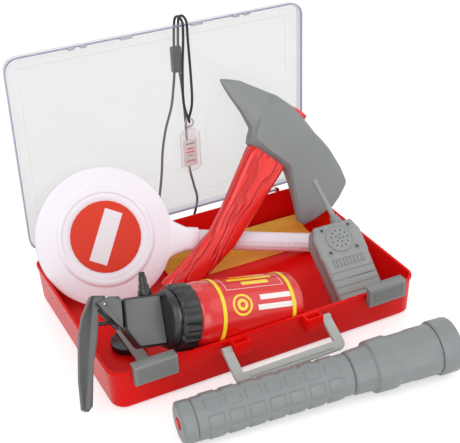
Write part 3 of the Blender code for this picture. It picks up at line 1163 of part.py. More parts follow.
def make_radio(support):
    """The two-way radio. Its frame is at the middle of the face's lower edge: +Y up the face, +Z out of it."""
    up = Vector(RADIO_UP).normalized()
    across = Vector(RADIO_ACROSS).normalized()
    face = across.cross(up)
    origin = case_place(RADIO_PLACE_shares) + across * RADIO_WIDTH / 2
    frame = make_frame("radio_frame", axes_matrix(origin, across, face))
    half = [(x * RADIO_WIDTH / 2, y * RADIO_LENGTH) for x, y in RADIO_OUTLINE_shares]
    outline = half + [(-x, y) for x, y in reversed(half)]
    middle = RADIO_LENGTH / 2

    def ring(inset, level):
        wide = 1 - 2 * inset / RADIO_WIDTH
        tall = 1 - 2 * inset / RADIO_LENGTH
        return [(x * wide, middle + (y - middle) * tall, level) for x, y in outline]

    seam = -RADIO_FRONT_SHARE * RADIO_THICKNESS
    wall = RADIO_WALL
    front = add_piece("radio_front", loft([
        ring(RADIO_EDGE, 0), ring(0, -RADIO_EDGE), ring(0, seam), ring(wall, seam), ring(wall + RADIO_EDGE / 2, -wall)]),
        frame)
    low = -RADIO_THICKNESS
    back = add_piece("radio_back", loft([
        ring(RADIO_EDGE, low), ring(0, low + RADIO_EDGE), ring(0, seam - CLEARANCE), ring(wall, seam - CLEARANCE),
        ring(wall + RADIO_EDGE / 2, low + wall)]), frame)
    raised = bmesh.new()
    add_rod(raised, SPEAKER_RADIUS, 2 * SPEAKER_RISE, (0, SPEAKER_PLACE, 0), (0, 0, 1), ROUND_STEPS)
    screw_places = [(side * RADIO_SCREW_SPREAD, SPEAKER_PLACE + end * RADIO_SCREW_HEIGHT)
                    for side in (-1, 1) for end in (-1, 1)]
    raised = add_piece("speaker_plate", raised, frame, collection=cutters)
    combine(front, raised, "UNION")
    sunk = bmesh.new()
    for index in range(GROOVE_COUNT):
        add_block(sunk, (2 * RADIO_WIDTH, GROOVE_WIDTH, 2 * GROOVE_DEPTH), (0, GROOVE_FIRST + index * GROOVE_PITCH, 0))
    add_block(sunk, (GRILLE_LENGTH, GRILLE_HEIGHT, 2 * GRILLE_DEPTH), (0, GRILLE_PLACE, 0))
    for x, y in screw_places:
        add_rod(sunk, RADIO_SCREW_RADIUS + CLEARANCE, 2 * RADIO_SCREW_LENGTH, (x, y, 0), (0, 0, 1), 8)
    sunk = add_piece("radio_grooves", sunk, frame, collection=cutters)
    combine(front, sunk, "DIFFERENCE")
    for index, (x, y) in enumerate(screw_places):
        mesh = bmesh.new()
        add_rod(mesh, RADIO_SCREW_RADIUS, RADIO_SCREW_LENGTH, (x, y, -RADIO_SCREW_LENGTH / 2), (0, 0, 1), 8)
        screw = add_piece("radio_screw_" + str(index + 1), mesh, frame)
        give_material(screw, STEEL, 0.35, metallic=1.0)

    inset = RADIO_WIDTH / 2
    opening = bmesh.new()
    add_block(opening, (4 * TALK_BUTTON_INSIDE, TALK_BUTTON_LENGTH + 2 * CLEARANCE, TALK_BUTTON_WIDTH + 2 * CLEARANCE),
              (inset, TALK_BUTTON_PLACE, seam))
    opening = add_piece("button_opening", opening, frame, collection=cutters)
    socket = bmesh.new()
    lean = Matrix.Rotation(math.radians(-ANTENNA_LEAN), 4, "Z")
    root = Vector((ANTENNA_PLACE, RADIO_LENGTH, seam))
    rod_way = lean @ Vector((0, 1, 0))
    add_rod(socket, ANTENNA_SPIGOT_RADIUS + CLEARANCE, 2 * ANTENNA_SPIGOT_LENGTH + 2 * CLEARANCE, root, rod_way)
    socket = add_piece("antenna_socket", socket, frame, collection=cutters)
    for shell in (front, back):
        combine(shell, opening, "DIFFERENCE")
        combine(shell, socket, "DIFFERENCE")
        give_material(shell, GREY, 0.45)
    button_x = inset + TALK_BUTTON_RISE - (TALK_BUTTON_RISE + TALK_BUTTON_INSIDE) / 2
    button_frame = make_frame("talk_button_axis", Matrix.Translation((inset, TALK_BUTTON_PLACE, seam)), frame)
    mesh = bmesh.new()
    add_block(mesh, (TALK_BUTTON_RISE + TALK_BUTTON_INSIDE, TALK_BUTTON_LENGTH, TALK_BUTTON_WIDTH),
              (button_x, TALK_BUTTON_PLACE, seam))
    button = add_piece("talk_button", mesh, button_frame, (inset, TALK_BUTTON_PLACE, seam))
    bevel(button, TALK_BUTTON_RISE / 3)
    give_material(button, GREY, 0.45)
    base = ANTENNA_BASE_LENGTH
    wide = ANTENNA_BASE_RADIUS
    sink = 6 * CLEARANCE
    profile = [(0, ANTENNA_REACH), (0.8 * ANTENNA_TIP_RADIUS, ANTENNA_REACH),
               (ANTENNA_TIP_RADIUS, ANTENNA_REACH - ANTENNA_TIP_RADIUS / 2),
               (ANTENNA_TIP_RADIUS, ANTENNA_REACH - 2 * ANTENNA_TIP_RADIUS),
               (ANTENNA_RADIUS, ANTENNA_REACH - 2.3 * ANTENNA_TIP_RADIUS), (1.1 * ANTENNA_RADIUS, base)]
    for step in range(3):
        top = base * (1 - step / 3)
        profile += [((0.72 + 0.14 * step) * wide, top), ((0.72 + 0.14 * step) * wide, top - 0.2 * base),
                    ((0.66 + 0.14 * step) * wide, top - 0.2 * base)]
    profile += [(0.94 * wide, sink), (ANTENNA_SPIGOT_RADIUS, sink),
                (ANTENNA_SPIGOT_RADIUS, -ANTENNA_SPIGOT_LENGTH), (0, -ANTENNA_SPIGOT_LENGTH)]
    turn = Matrix.Translation(root) @ lean @ Matrix.Rotation(math.radians(-90), 4, "X")
    antenna = turned("antenna", profile, frame, steps=SMALL_ROUND_STEPS, base=turn)
    give_material(antenna, GREY, 0.45)
    toy = [front, back, button, antenna]
    settle(frame, toy, support)
    return frame, toy


def octagon(radius, level, sides=TORCH_SIDES):
    """An octagon with its corners cut back, whose flats are about radius away from the axis."""
    reach = radius * (1 + 1 / math.cos(math.pi / sides)) / 2
    points = []
    for index in range(2 * sides):
        angle = math.pi * (index + 0.5) / sides
        points.append((reach * math.cos(angle), reach * math.sin(angle), level))
    return points


def circle(radius, level, count):
    return [(radius * math.cos(math.pi * (index + 0.5) * 2 / count),
             radius * math.sin(math.pi * (index + 0.5) * 2 / count), level) for index in range(count)]


def make_torch(ground):
    """The torch, on the floor in front of the case. Its frame has +Z along the torch from its tail."""
    along = Vector(TORCH_ALONG).normalized()
    length = TAIL_CAP_LENGTH + TORCH_BODY_LENGTH + TORCH_HEAD_LENGTH + BEZEL_LENGTH
    rise = math.asin((BEZEL_RADIUS - TORCH_BODY_RADIUS) / length)
    along = (along + Vector((0, 0, math.tan(rise)))).normalized()
    frame = make_frame("torch_frame", axes_matrix(case_place(TORCH_PLACE_shares), (0, 0, 1), along))
    cap_end = TAIL_CAP_LENGTH
    body_start = cap_end + CLEARANCE
    body_end = cap_end + TORCH_BODY_LENGTH
    sides = 2 * TORCH_SIDES
    edge = 2 * TORCH_PAD_RISE
    body_rings = [octagon(TORCH_BODY_RADIUS - edge / 2, body_start), octagon(TORCH_BODY_RADIUS, body_start + edge),
                  octagon(TORCH_BODY_RADIUS, body_end - edge), octagon(TORCH_BODY_RADIUS - edge / 2, body_end),
                  circle(TORCH_BORE_RADIUS, body_end, sides), circle(TORCH_BORE_RADIUS, body_start, sides)]
    body = add_piece("torch_body", loft(body_rings, closed=True), frame)
    pads = bmesh.new()
    flat = TORCH_BODY_RADIUS * (1 + 1 / math.cos(math.pi / TORCH_SIDES)) / 2 * math.cos(math.pi / (2 * TORCH_SIDES))
    for side in range(TORCH_SIDES):
        angle = 2 * math.pi * (side + 0.5) / TORCH_SIDES
        turn = Matrix.Rotation(angle, 4, "Z")
        for index in range(TORCH_PAD_COUNT):
            place = turn @ Matrix.Translation((flat, 0, TORCH_PAD_START + body_start + index * TORCH_PAD_PITCH))
            size = Matrix.Diagonal((2 * TORCH_PAD_RISE, TORCH_PAD_WIDTH, TORCH_PAD_LENGTH, 1))
            bmesh.ops.create_cube(pads, size=1.0, matrix=place @ size)
    pads = add_piece("torch_pads", pads, frame, collection=cutters)
    combine(body, pads, "UNION")
    give_material(body, GREY, 0.45)

    bore = TAIL_BUTTON_RADIUS + CLEARANCE
    tail_rings = [octagon(TORCH_BODY_RADIUS - 1.5 * edge, 0), octagon(TORCH_BODY_RADIUS, edge),
                  octagon(TORCH_BODY_RADIUS, cap_end), circle(TORCH_BORE_RADIUS, cap_end, sides),
                  circle(TORCH_BORE_RADIUS, 2 * TORCH_WALL, sides), circle(bore, 2 * TORCH_WALL, sides),
                  circle(bore, 0, sides)]
    tail = add_piece("torch_tail_cap", loft(tail_rings, closed=True), frame)
    give_material(tail, GREY, 0.45)
    button_frame = make_frame("tail_button_axis", Matrix(), frame)
    rise = TAIL_BUTTON_RISE
    profile = ((0, TAIL_BUTTON_LENGTH), (TAIL_BUTTON_RADIUS, TAIL_BUTTON_LENGTH), (TAIL_BUTTON_RADIUS, -0.4 * rise),
               (0.8 * TAIL_BUTTON_RADIUS, -rise), (0, -rise))
    button = turned("torch_button", profile, button_frame, steps=16)
    give_material(button, RED, 0.3)

    head_start = body_end + CLEARANCE
    head_end = head_start + TORCH_HEAD_LENGTH
    neck_end = head_start + TORCH_NECK_LENGTH
    neck = TORCH_BODY_RADIUS + edge
    cup = head_end + BEZEL_LENGTH - LENS_INSET - LENS_THICKNESS - REFLECTOR_DEPTH - 2 * CLEARANCE
    cup_radius = TORCH_HEAD_RADIUS - TORCH_WALL
    head_rings = [circle(TORCH_BODY_RADIUS, head_start, sides), circle(neck, head_start + edge, sides),
                  octagon(neck, neck_end), octagon(0.98 * TORCH_HEAD_RADIUS, neck_end + edge),
                  octagon(TORCH_HEAD_RADIUS, neck_end + TORCH_NECK_LENGTH),
                  octagon(0.93 * TORCH_HEAD_RADIUS, neck_end + 1.2 * TORCH_NECK_LENGTH),
                  octagon(0.93 * TORCH_HEAD_RADIUS, neck_end + 2.0 * TORCH_NECK_LENGTH),
                  circle(TORCH_HEAD_RADIUS, neck_end + 2.2 * TORCH_NECK_LENGTH, sides),
                  circle(TORCH_HEAD_RADIUS, head_end, sides), circle(cup_radius, head_end, sides),
                  circle(cup_radius, cup - CLEARANCE, sides), circle(0.5 * TORCH_BORE_RADIUS, cup - CLEARANCE, sides),
                  circle(0.5 * TORCH_BORE_RADIUS, neck_end, sides), circle(TORCH_BORE_RADIUS, neck_end, sides),
                  circle(TORCH_BORE_RADIUS, head_start, sides)]
    head = add_piece("torch_head", loft(head_rings, closed=True), frame)
    smooth(head, 30)
    give_material(head, GREY, 0.45)
    ring_start = head_end + CLEARANCE
    ring_end = ring_start + BEZEL_LENGTH
    lip = TORCH_WALL / 2
    lens_level = ring_end - LENS_INSET
    profile = ((BEZEL_RADIUS - 2 * lip, ring_end), (BEZEL_RADIUS - lip / 2, ring_end - lip), (BEZEL_RADIUS, ring_end - 3 * lip),
               (BEZEL_RADIUS, ring_start + 2 * lip), (BEZEL_RADIUS - lip, ring_start), (cup_radius, ring_start),
               (cup_radius, lens_level), (cup_radius - TORCH_WALL, lens_level), (cup_radius - TORCH_WALL, ring_end))
    bezel = turned("torch_bezel", profile, frame, steps=32, ring=True)
    give_material(bezel, GREY, 0.45)
    lens_top = lens_level - CLEARANCE
    lens_low = lens_top - LENS_THICKNESS
    mesh = bmesh.new()
    add_rod(mesh, cup_radius - 2 * CLEARANCE, LENS_THICKNESS, (0, 0, (lens_top + lens_low) / 2), (0, 0, 1), 32)
    lens = add_piece("torch_lens", mesh, frame)
    give_material(lens, CLEAR, 0.05, transmission=1.0)
    rim = lens_low - CLEARANCE
    outside = cup_radius - 2 * CLEARANCE
    throat = BULB_RADIUS + 2 * CLEARANCE
    outer_side = [(outside, rim)]
    inner_side = []
    for step in range(5):
        share = step / 4
        reach = throat + (outside - 2 * lip - throat) * math.sqrt(1 - share)
        inner_side.append((reach, rim - share * REFLECTOR_DEPTH))
        outer_side.append((min(reach + lip, outside), rim - lip - share * (REFLECTOR_DEPTH - lip)))
    profile = outer_side + list(reversed(inner_side))
    reflector = turned("torch_reflector", profile, frame, ring=True)
    give_material(reflector, STEEL, 0.1, metallic=1.0)
    bulb_low = rim - REFLECTOR_DEPTH
    profile = ((0, bulb_low + BULB_LENGTH), (0.7 * BULB_RADIUS, bulb_low + 0.93 * BULB_LENGTH),
               (BULB_RADIUS, bulb_low + 0.7 * BULB_LENGTH), (BULB_RADIUS, bulb_low), (0, bulb_low))
    bulb = turned("torch_bulb", profile, frame, steps=SMALL_ROUND_STEPS)
    give_material(bulb, CLEAR, 0.1, transmission=0.8)
    for index in range(CELL_COUNT):
        start = neck_end - CLEARANCE - (index + 1) * (CELL_LENGTH + CLEARANCE)
        mesh = bmesh.new()
        add_rod(mesh, CELL_RADIUS, CELL_LENGTH, (0, 0, start + CELL_LENGTH / 2), (0, 0, 1), 16)
        cell = add_piece("torch_cell_" + str(index + 1), mesh, frame)
        smooth(cell)
        give_material(cell, YELLOW, 0.4)
    spring_start = TAIL_BUTTON_LENGTH + TAIL_BUTTON_TRAVEL + CLEARANCE + CONTACT_SPRING_WIRE_RADIUS
    spring_end = start - CLEARANCE - CONTACT_SPRING_WIRE_RADIUS
    turns = []
    count = CONTACT_SPRING_TURNS * SPRING_POINTS
    for index in range(count + 1):
        angle = 2 * math.pi * index / SPRING_POINTS
        turns.append((CONTACT_SPRING_RADIUS * math.cos(angle), CONTACT_SPRING_RADIUS * math.sin(angle),
                      spring_start + (spring_end - spring_start) * index / count))
    spring = add_piece("contact_spring", tube_mesh(turns, CONTACT_SPRING_WIRE_RADIUS, 1), frame)
    give_material(spring, STEEL, 0.3, metallic=1.0)
    toy = [body, tail, head, bezel]
    settle(frame, toy, ground)
    return frame, toy


# The cord's routes, chosen by hand. The front strands hang over the lid's top edge and pass through the
# tag's ring, and the loop hangs behind the lid, from the clasp down to the floor and up again.
FRONT_ROUTE = (
    (0.0205, 0.1410, 0.2600), (0.0212, 0.1410, 0.2720), (0.0222, 0.1408, 0.2855), (0.0232, 0.1388, 0.2938),
    (0.0242, 0.1310, 0.2972), (0.0248, 0.1238, 0.2935), (0.0250, 0.1226, 0.2868), (0.0245, 0.1232, 0.2700),
    (0.0220, 0.1235, 0.2400), (0.0205, 0.1235, 0.2060), (0.0215, 0.1228, 0.1900), (0.0235, 0.1210, 0.1800),
    (0.0252, 0.1205, 0.1740), (0.0262, 0.1235, 0.1720), (0.0272, 0.1265, 0.1740), (0.0290, 0.1262, 0.1800),
    (0.0308, 0.1242, 0.1900), (0.0318, 0.1235, 0.2060), (0.0314, 0.1235, 0.2400), (0.0304, 0.1232, 0.2700),
    (0.0300, 0.1226, 0.2868), (0.0298, 0.1238, 0.2935), (0.0290, 0.1310, 0.2972), (0.0280, 0.1388, 0.2938),
    (0.0272, 0.1408, 0.2855), (0.0262, 0.1410, 0.2720), (0.0255, 0.1410, 0.2600))
LOOP_ROUTE = (
    (0.0190, 0.1410, 0.2285), (0.0172, 0.1408, 0.2150), (0.0120, 0.1400, 0.1880), (0.0030, 0.1398, 0.1620),
    (-0.0030, 0.1398, 0.1350), (-0.0065, 0.1398, 0.1050), (-0.0120, 0.1400, 0.0720), (-0.0170, 0.1420, 0.0420),
    (-0.0150, 0.1450, 0.0180), (-0.0040, 0.1480, 0.0060), (0.0120, 0.1490, 0.0050), (0.0260, 0.1470, 0.0150),
    (0.0335, 0.1430, 0.0340), (0.0385, 0.1405, 0.0580), (0.0345, 0.1398, 0.0800), (0.0302, 0.1398, 0.1050),
    (0.0290, 0.1398, 0.1400), (0.0285, 0.1400, 0.1750), (0.0272, 0.1404, 0.2080), (0.0255, 0.1410, 0.2285))


def smooth_route(route, spacing):
    """Evenly spaced points on a smooth curve through the route's points."""
    points = [Vector(point) for point in route]
    points = [2 * points[0] - points[1], *points, 2 * points[-1] - points[-2]]
    dense = []
    for before, start, end, after in zip(points, points[1:], points[2:], points[3:]):
        for step in range(16):
            t = step / 16
            dense.append(0.5 * (2 * start + (end - before) * t + (2 * before - 5 * start + 4 * end - after) * t ** 2
                                + (3 * start - 3 * end + after - before) * t ** 3))
    dense.append(points[-2])
    total = sum((b - a).length for a, b in zip(dense, dense[1:]))
    count = round(total / spacing)
    spaced = [dense[0]]
    walked = 0.0
    for a, b in zip(dense, dense[1:]):
        step = (b - a).length
        while len(spaced) < count and walked + step >= total * len(spaced) / count:
            share = (total * len(spaced) / count - walked) / step
            spaced.append(a.lerp(b, share))
        walked += step
    spaced.append(dense[-1])
    return spaced


def make_lanyard(frame):
    """The cord, its clasp, and the tag that hangs from it in front of the open lid."""
    axis = (0, hinge_y, hinge_z)
    for name, route, spacing in (("cord_front", FRONT_ROUTE, STRAND_POINT_SPACING),
                                 ("cord_loop", LOOP_ROUTE, LOOP_POINT_SPACING)):
        cord = add_piece(name, tube_mesh(smooth_route(route, spacing), CORD_DIAMETER / 2), frame, axis)
        smooth(cord, 60)
        give_material(cord, BLACK, 0.7)
    clasp_middle = Vector(((LOOP_ROUTE[0][0] + LOOP_ROUTE[-1][0]) / 2, LOOP_ROUTE[0][1],
                           (LOOP_ROUTE[0][2] + FRONT_ROUTE[-1][2]) / 2))
    mesh = bmesh.new()
    height = FRONT_ROUTE[-1][2] - LOOP_ROUTE[0][2] - 2 * CLEARANCE
    add_block(mesh, (CLASP_WIDTH, CLASP_THICKNESS, height), clasp_middle)
    clasp = add_piece("cord_clasp", mesh, frame, axis)
    bevel(clasp, CLASP_THICKNESS / 5, 2)
    give_material(clasp, BLACK, 0.35)
    turn = Vector(FRONT_ROUTE[len(FRONT_ROUTE) // 2])
    ring_middle = turn + Vector((0, 0, CORD_DIAMETER / 2 + 5 * CLEARANCE + RING_WIRE_RADIUS - RING_RADIUS))
    ring_count = 20
    rings = []
    for index in range(ring_count):
        angle = 2 * math.pi * index / ring_count
        outward = Vector((math.cos(angle), 0, math.sin(angle)))
        rings.append([ring_middle + outward * (RING_RADIUS + RING_WIRE_RADIUS * math.cos(turn))
                      + Vector((0, RING_WIRE_RADIUS * math.sin(turn), 0))
                      for turn in (math.pi * step / 3 for step in range(6))])
    ring = add_piece("tag_ring", loft(rings, closed=True), frame, axis)
    smooth(ring, 60)
    give_material(ring, STEEL, 0.3, metallic=1.0)
    tag_top = ring_middle.z - RING_RADIUS - TAG_TAB_RISE
    tag_middle = Vector((ring_middle.x, ring_middle.y, tag_top - TAG_HEIGHT / 2))
    cut = TAG_CHAMFER_share * TAG_WIDTH
    outline = []
    for side_x, side_y in ((1, -1), (1, 1), (-1, 1), (-1, -1)):
        corner = [(side_x * TAG_WIDTH / 2, side_y * (TAG_HEIGHT / 2 - cut)),
                  (side_x * (TAG_WIDTH / 2 - cut), side_y * TAG_HEIGHT / 2)]
        outline += corner if side_x * side_y > 0 else list(reversed(corner))
    stand = Matrix.Translation(tag_middle) @ Matrix.Rotation(math.radians(90), 4, "X")
    mesh = flat_mesh(outline, TAG_THICKNESS)
    mesh.transform(stand)
    tag = add_piece("tag_case", mesh, frame, axis)
    card_size = (TAG_WIDTH - 2 * TAG_WALL - 2 * CARD_MARGIN, CARD_THICKNESS, 0.62 * TAG_HEIGHT)
    card_middle = tag_middle + Vector((0, TAG_THICKNESS / 4, -0.08 * TAG_HEIGHT))
    tab = bmesh.new()
    eye = Vector((ring_middle.x, ring_middle.y, ring_middle.z - RING_RADIUS))
    add_block(tab, (TAG_TAB_WIDTH, TAG_THICKNESS, 3 * TAG_TAB_RISE), eye - Vector((0, 0, TAG_TAB_RISE / 2)))
    tab = add_piece("tag_tab", tab, frame, axis, cutters)
    combine(tag, tab, "UNION")
    pocket = bmesh.new()
    pocket_low = card_middle.z - card_size[2] / 2 - CLEARANCE
    pocket_height = tag_middle.z + TAG_HEIGHT / 2 + CUT_OVERRUN - pocket_low
    add_block(pocket, (card_size[0] + 2 * CLEARANCE, CARD_THICKNESS + 2 * CLEARANCE, pocket_height),
              (tag_middle.x, tag_middle.y + TAG_THICKNESS / 4, pocket_low + pocket_height / 2))
    pocket = add_piece("tag_pocket", pocket, frame, axis, cutters)
    combine(tag, pocket, "DIFFERENCE")
    hole = bmesh.new()
    add_rod(hole, 1.8 * RING_WIRE_RADIUS, TAG_TAB_WIDTH + CUT_OVERRUN, eye, (1, 0, 0), 10)
    hole = add_piece("tag_hole", hole, frame, axis, cutters)
    combine(tag, hole, "DIFFERENCE")
    give_material(tag, CLEAR, 0.1, transmission=0.9)
    mesh = bmesh.new()
    add_block(mesh, card_size, card_middle)
    card = add_piece("tag_card", mesh, frame, axis)
    give_material(card, WHITE, 0.5)


def make_ground():
    """A guide that stands for the floor under the kit."""
    mesh = bmesh.new()
    add_block(mesh, (3 * CASE_WIDTH, 4 * CASE_DEPTH, CASE_WALL), (0, 0, -CASE_WALL / 2 - CLEARANCE))
    return add_piece("ground", mesh, collection=cutters)


def make_kit():
    """Makes the case first, then each toy on what carries it."""
    tray = make_case()
    make_pins()
    lid_frame = make_lid()
    latches = [make_latch("latch_left", -1), make_latch("latch_right", 1)]
    handle = make_handle()
    make_loose_pieces()
    paddle_frame, paddle = make_paddle(tray)
    make_axe(paddle_frame, [tray, *paddle])
    make_extinguisher([tray, *latches, bpy.data.objects["spare_strip"]])
    make_radio([tray, *latches])
    make_torch([make_ground(), handle])
    make_lanyard(lid_frame)


make_kit()
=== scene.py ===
import json
import math

import bmesh
import bpy
from mathutils import Matrix, Vector


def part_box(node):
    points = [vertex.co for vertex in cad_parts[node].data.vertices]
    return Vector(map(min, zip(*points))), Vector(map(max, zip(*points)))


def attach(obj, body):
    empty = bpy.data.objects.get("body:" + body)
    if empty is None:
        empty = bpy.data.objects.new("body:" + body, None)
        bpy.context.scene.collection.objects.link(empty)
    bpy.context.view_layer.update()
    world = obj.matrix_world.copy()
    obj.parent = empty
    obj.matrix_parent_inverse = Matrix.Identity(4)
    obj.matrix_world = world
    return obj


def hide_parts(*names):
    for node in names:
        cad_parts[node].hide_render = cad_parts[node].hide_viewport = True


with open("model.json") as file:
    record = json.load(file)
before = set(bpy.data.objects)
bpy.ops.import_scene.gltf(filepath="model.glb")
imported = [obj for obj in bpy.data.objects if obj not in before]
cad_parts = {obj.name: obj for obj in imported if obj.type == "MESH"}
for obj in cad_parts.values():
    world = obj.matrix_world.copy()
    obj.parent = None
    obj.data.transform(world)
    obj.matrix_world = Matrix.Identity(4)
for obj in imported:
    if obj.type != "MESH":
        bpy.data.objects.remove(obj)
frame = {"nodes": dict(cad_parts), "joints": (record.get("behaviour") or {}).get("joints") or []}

bl_info = {
    "name": "Toy firefighter kit",
    "version": (1, 0, 0),
    "blender": (4, 5, 0),
    "location": "View3D > Sidebar > Kit",
    "description": "Gives the packed toy firefighter kit its finish, its cord and its studio",
    "category": "Object",
}

# The colour sockets of a mix node: its two inputs and its result
MIX_FIRST = 6
MIX_SECOND = 7
MIX_RESULT = 2
# Points closer than this, in metres, are merged, and faces within this angle, in degrees, count as one
MERGE_DISTANCE = 0.00001
FLAT_ANGLE = 1
# Least angle in degrees of an edge that is rounded: on shaped toys, shells, blocks and the lever
SHAPED_EDGE = 20
SHELL_EDGE = 25
BLOCK_EDGE = 30
LEVER_EDGE = 35
# Least angle in degrees of an edge that stays sharp in the shading, on a rounded copy and on a turned shape
SHARP_EDGE = 50
TURNED_SHARP_EDGE = 40
EDGE_SEGMENTS = 2
# Steps round a turned shape: a large one, a rim and a hole
FULL_STEPS = 128
RIM_STEPS = 64
BOSS_STEPS = 32
HOLE_STEPS = 16


def node_object(node):
    return frame["nodes"][node]


def middle(node):
    low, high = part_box(node)
    return (low + high) / 2


def finish_piece(obj, body, slot, *replaced):
    """Puts a piece on its body and in the place of the nodes it stands for; its slot is not used."""
    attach(obj, body)
    if replaced:
        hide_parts(*replaced)
    return obj


def add_object(name, data):
    obj = bpy.data.objects.new(name, data)
    bpy.context.scene.collection.objects.link(obj)
    return obj


def mesh_object(name, mesh, material):
    """An object from a bmesh, which is freed."""
    data = bpy.data.meshes.new(name)
    mesh.to_mesh(data)
    mesh.free()
    data.materials.append(material)
    return add_object(name, data)


def smooth(obj, angle):
    """Smooth shading, with edges over the angle in degrees left sharp."""
    obj.data.shade_smooth()
    obj.data.set_sharp_from_angle(angle=math.radians(angle))


def apply_modifiers(obj):
    """Makes the object's modifiers part of its mesh."""
    bpy.context.view_layer.update()
    graph = bpy.context.evaluated_depsgraph_get()
    mesh = bpy.data.meshes.new_from_object(obj.evaluated_get(graph), depsgraph=graph)
    obj.modifiers.clear()
    obj.data = mesh


def rounded(node, body, slot, material, width, angle=BLOCK_EDGE):
    """A copy of a node with its hard edges rounded, which stands for it."""
    mesh = bmesh.new()
    mesh.from_mesh(node_object(node).data)
    bmesh.ops.remove_doubles(mesh, verts=mesh.verts, dist=MERGE_DISTANCE)
    bmesh.ops.dissolve_limit(mesh, angle_limit=math.radians(FLAT_ANGLE), verts=mesh.verts, edges=mesh.edges)
    bmesh.ops.recalc_face_normals(mesh, faces=mesh.faces)
    obj = mesh_object(node + "_finish", mesh, material)
    bevel = obj.modifiers.new("edges", "BEVEL")
    bevel.width = width
    bevel.segments = EDGE_SEGMENTS
    bevel.limit_method = "ANGLE"
    bevel.angle_limit = math.radians(angle)
    apply_modifiers(obj)
    smooth(obj, SHARP_EDGE)
    return finish_piece(obj, body, slot, node)


def turned(name, profile, steps, material):
    """A turned shell about Z from a profile that runs down its outer side."""
    data = bpy.data.meshes.new(name)
    data.from_pydata([(radius, 0, level) for radius, level in profile],
                     [(index, index + 1) for index in range(len(profile) - 1)], [])
    obj = add_object(name, data)
    screw = obj.modifiers.new("turn", "SCREW")
    screw.steps = steps
    screw.render_steps = steps
    screw.use_merge_vertices = True
    screw.merge_threshold = MERGE_DISTANCE
    apply_modifiers(obj)
    obj.data.materials.append(material)
    smooth(obj, TURNED_SHARP_EDGE)
    return obj


class Nodes:
    """Short calls for building one node tree."""

    def __init__(self, tree):
        self.tree = tree

    def add(self, kind, inputs=(), **settings):
        node = self.tree.nodes.new(kind)
        for name, value in settings.items():
            setattr(node, name, value)
        for name, value in dict(inputs).items():
            self.put(node.inputs[name], value)
        return node

    def put(self, socket, value):
        if isinstance(value, bpy.types.NodeSocket):
            self.tree.links.new(value, socket)
        else:
            socket.default_value = value

    def calc(self, operation, first, second=0.0, third=0.0):
        return self.add("ShaderNodeMath", {0: first, 1: second, 2: third}, operation=operation).outputs[0]

    def mix(self, factor, first, second):
        node = self.add("ShaderNodeMix", data_type="RGBA")
        self.put(node.inputs["Factor"], factor)
        self.put(node.inputs[MIX_FIRST], first)
        self.put(node.inputs[MIX_SECOND], second)
        return node.outputs[MIX_RESULT]

    def ramp(self, value, start, end, **settings):
        """0 at the start and 1 at the end, and no more on either side."""
        inputs = {"Value": value, "From Min": start, "From Max": end}
        return self.add("ShaderNodeMapRange", inputs, **settings).outputs[0]

    def bump(self, height, depth, strength=1.0, **inputs):
        inputs.update(Height=height, Distance=depth, Strength=strength)
        return self.add("ShaderNodeBump", inputs).outputs["Normal"]

    def noise(self, vector, scale):
        inputs = {"Vector": vector, "Scale": scale, "Detail": NOISE_DETAIL}
        return self.add("ShaderNodeTexNoise", inputs).outputs["Fac"]

    def dot(self, first, second):
        node = self.add("ShaderNodeVectorMath", {0: first, 1: second}, operation="DOT_PRODUCT")
        return node.outputs["Value"]

    def split(self, vector):
        return self.add("ShaderNodeSeparateXYZ", {"Vector": vector}).outputs

    def wire(self, node, **inputs):
        """Sets or links inputs by their names, with a low line for each space."""
        for name, value in inputs.items():
            self.put(node.inputs[name.replace("_", " ")], value)
        return node

    def use(self, group, **inputs):
        return self.wire(self.add("ShaderNodeGroup", node_tree=group), **inputs)


def shader_group(name, inputs, outputs):
    """An empty shader group with its sockets. Returns its Nodes, its inputs and its output node."""
    tree = bpy.data.node_groups.new(name, "ShaderNodeTree")
    for label, kind, default in inputs:
        socket = tree.interface.new_socket(label, in_out="INPUT", socket_type="NodeSocket" + kind)
        if default is not None:
            socket.default_value = default
    for label, kind in outputs:
        tree.interface.new_socket(label, in_out="OUTPUT", socket_type="NodeSocket" + kind)
    nodes = Nodes(tree)
    return nodes, tree.nodes.new("NodeGroupInput").outputs, tree.nodes.new("NodeGroupOutput").inputs


# The moulded surface: grains and waves per metre, their depths in metres, and the spread of roughness
GRAIN_SCALE = 1500.0
GRAIN_DEPTH = 0.00002
WAVE_SCALE = 22.0
WAVE_DEPTH = 0.0006
WAVE_STRENGTH = 0.25
NOISE_DETAIL = 2.0
ROUGHNESS_SPREAD = 0.12


def make_surface_group():
    """Fine moulding grain, soft waviness and a slow tone, all on the object's own coordinates."""
    nodes, given, made = shader_group(
        "moulded_surface",
        (("Vector", "Vector", None), ("Grain scale", "Float", GRAIN_SCALE),
         ("Grain depth", "Float", GRAIN_DEPTH), ("Wave scale", "Float", WAVE_SCALE)),
        (("Tone", "Float"), ("Grain", "Float"), ("Normal", "Vector")))
    fine = nodes.noise(given["Vector"], given["Grain scale"])
    slow = nodes.noise(given["Vector"], given["Wave scale"])
    wave = nodes.bump(slow, WAVE_DEPTH, WAVE_STRENGTH)
    nodes.put(made["Tone"], slow)
    nodes.put(made["Grain"], fine)
    nodes.put(made["Normal"], nodes.bump(fine, given["Grain depth"], Normal=wave))
    return nodes.tree


def make_axes_group():
    """Coordinates in a toy's own directions."""
    nodes, given, made = shader_group(
        "toy_axes",
        [(label, "Vector", None) for label in ("Vector", "Origin", "Along", "Across", "Out")],
        [(label, "Float") for label in ("Along", "Across", "Out")])
    moved = nodes.add("ShaderNodeVectorMath", {0: given["Vector"], 1: given["Origin"]}, operation="SUBTRACT")
    for label in ("Along", "Across", "Out"):
        nodes.put(made[label], nodes.dot(moved.outputs[0], given[label]))
    return nodes.tree


